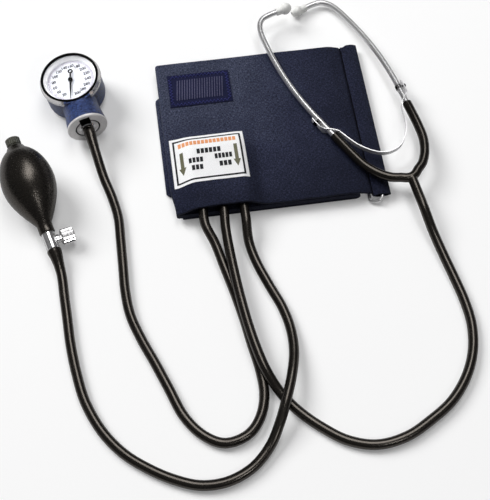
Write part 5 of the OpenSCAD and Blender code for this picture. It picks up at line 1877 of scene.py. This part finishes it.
@dataclass
class Headset:
    """The headset: yoke, ear tubes, spring and ear tips, in millimetres and degrees."""

    yoke_r: float = 3.75
    tube_r: float = 2.4
    tilt_x: float = 45.0
    right_tilt: float = 3.8
    stem_turn: float = 13.0
    stem_len: float = 13.4
    waist: float = 0.66

    def arm_line(self, side: int) -> list[Vector]:
        """Points of a yoke arm; side is 1 for the left and -1 for the right."""
        plan = [(3, 8), (7, 15), (15, 22), (26, 27.6), (38, 30.6), (50, 32.8), (62, 34.9)]
        slope = 0.0 if side > 0 else math.tan(math.radians(self.right_tilt))
        return [Vector((x, side * y, -slope * max(0.0, x - self.tilt_x))) for x, y in plan]

    def ear_line(self, side: int) -> list[Vector]:
        """Points of an ear tube; side is 1 for the left and -1 for the right."""
        plan = [
            (49.5, 32.7), (62, 34.9), (75, 37.2), (90, 39.6), (106, 41.4), (122, 42.3), (138, 42.2),
            (154, 41.2), (168, 39.7), (180, 37.8), (189, 34.6), (194.4, 29.4), (195.8, 22), (195.6, 11)]
        tilt = 0.0 if side > 0 else math.radians(self.right_tilt)
        out = []
        for x, y in plan:
            run = x - self.tilt_x
            out.append(Vector((self.tilt_x + run * math.cos(tilt), side * y, -run * math.sin(tilt))))
        return out

    def junction(self) -> None:
        """The Y where both arms and the stem run into one another, as one smooth moulding."""
        bend = [
            Vector((x, y, 0)) for x, y in (
                (5.6, 12.6), (3, 8), (0.5, 4), (-0.4, 0), (0.5, -4), (3, -8), (5.6, -12.6))]
        turn, radius, arm_turn, voxel = math.radians(180.0 - self.stem_turn), self.yoke_r + 0.04, 60, 0.45
        along = Vector((math.cos(turn), math.sin(turn), 0.0))
        stem = [along * d for d in (-1.0, 3.0, 8.0, 12.0, 17.0)]
        piece = swept(bend, None, radius, 9, 8)
        other = swept(stem, [0.9, 1.0, 1.0, 1.0, 1.0], radius, 9, 6)
        select(piece, other)
        bpy.ops.object.join()
        piece.data.remesh_voxel_size = voxel
        piece.data.remesh_voxel_adaptivity = 0.0
        bpy.ops.object.voxel_remesh()
        web = piece.modifiers.new("web", "SMOOTH")
        web.factor, web.iterations = 0.5, 10
        bpy.ops.object.modifier_apply(modifier=web.name)
        bpy.ops.object.mode_set(mode="EDIT")
        c, s = math.cos(math.radians(arm_turn)), math.sin(math.radians(arm_turn))
        cuts = [(Vector((3, side * 8, 0)), Vector((c, side * s, 0))) for side in (1, -1)]
        for at, out in [*cuts, (along * (self.stem_len - 0.02), along)]:
            bpy.ops.mesh.select_all(action="SELECT")
            bpy.ops.mesh.bisect(plane_co=at, plane_no=out, clear_outer=True, use_fill=True)
        bpy.ops.mesh.select_all(action="SELECT")
        bpy.ops.mesh.normals_make_consistent(inside=False)
        bpy.ops.object.mode_set(mode="OBJECT")
        finished(piece, "yoke_moulding", HEADSET, YOKE_RUBBER.material(), Body.KIT, ("yoke_junction",), 60)

    def arms(self) -> None:
        """The two rubber arms."""
        for side, name, body in ((1, "yoke_left_arm", Body.LEFT), (-1, "yoke_right_arm", Body.RIGHT)):
            arm = swept(self.arm_line(side), None, self.yoke_r, 7, 8)
            arm = finished(arm, name + "_rubber", HEADSET, YOKE_RUBBER.material(), None, (name,), 60)
            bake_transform(arm)

    def tubes(self) -> None:
        """The two chromed ear tubes."""
        for side, name, body in ((1, "left_ear_tube", Body.LEFT), (-1, "right_ear_tube", Body.RIGHT)):
            tube = swept(self.ear_line(side), None, self.tube_r, 7, 8)
            finished(tube, name + "_chrome", HEADSET, BRIGHT_CHROME.material(), body, (name,), 60)

    def spring(self) -> None:
        """The leaf spring, as two halves that meet behind the yoke."""
        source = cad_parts["leaf_spring"]
        for side, name, body in ((1, "leaf_spring_left", Body.LEFT), (-1, "leaf_spring_right", Body.RIGHT)):
            half = copied(source)
            half.parent = None
            half.matrix_world = Matrix.Identity(4)
            for key in list(half.keys()):
                del half[key]
            half.hide_render = half.hide_viewport = False
            half.data.transform(HEADSET.matrix().inverted())
            select(half)
            bpy.ops.object.mode_set(mode="EDIT")
            bpy.ops.mesh.select_all(action="SELECT")
            bpy.ops.mesh.remove_doubles(threshold=0.001)
            bpy.ops.mesh.bisect(plane_co=(0, 0, 0), plane_no=(0, side, 0), clear_inner=True, use_fill=True)
            bpy.ops.mesh.select_all(action="SELECT")
            bpy.ops.mesh.normals_make_consistent(inside=False)
            bpy.ops.object.mode_set(mode="OBJECT")
            self.narrow(half, side)
            nodes = ("leaf_spring",) if side > 0 else ()
            half = finished(half, name, HEADSET, SPRING_STRIP.material(), None, nodes, 40)
            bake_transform(half)

    def narrow(self, half: bpy.types.Object, side: int) -> None:
        """Narrows the strip to its waist everywhere but where it crosses the tube.

        Args:
            half: One half of the spring, in local millimetres.
            side: 1 for the left and -1 for the right.
        """
        slope = 0.0 if side > 0 else math.tan(math.radians(self.right_tilt))
        from_x, to_x = 58, 74
        for v in half.data.vertices:
            middle = -slope * max(0.0, v.co.x - self.tilt_x)
            crossing = ease((v.co.x - from_x) / 4) * ease((to_x - v.co.x) / 2)
            v.co.z = middle + (v.co.z - middle) * (self.waist + (1 - self.waist) * crossing)

    def build(self) -> None:
        """Builds the junction, arms, tubes and spring, and dresses the rest."""
        self.junction()
        self.arms()
        self.tubes()
        self.spring()
        for node, finish in (
                ("yoke_coupling", STEEL), ("left_spring_clip", LEFT_CLIP),
                ("right_spring_clip", RIGHT_CLIP), ("left_ear_tip", WHITE_TIP), ("right_ear_tip", WHITE_TIP),
                ("chestpiece_body", STEEL), ("chestpiece_ring", GLOSS_BLACK),
                ("chestpiece_diaphragm", DIAPHRAGM)):
            dress(node, finish.material())


def main() -> None:
    """Builds the studio and every sub-assembly in order."""
    logging.basicConfig(level=logging.INFO, format="%(message)s")
    for part in (Studio(), Hoses(), Cuff(), Gauge(), Bulb(), Headset()):
        part.build()
        LOG.info("%s done", type(part).__name__)


if __name__ == "__main__":
    main()
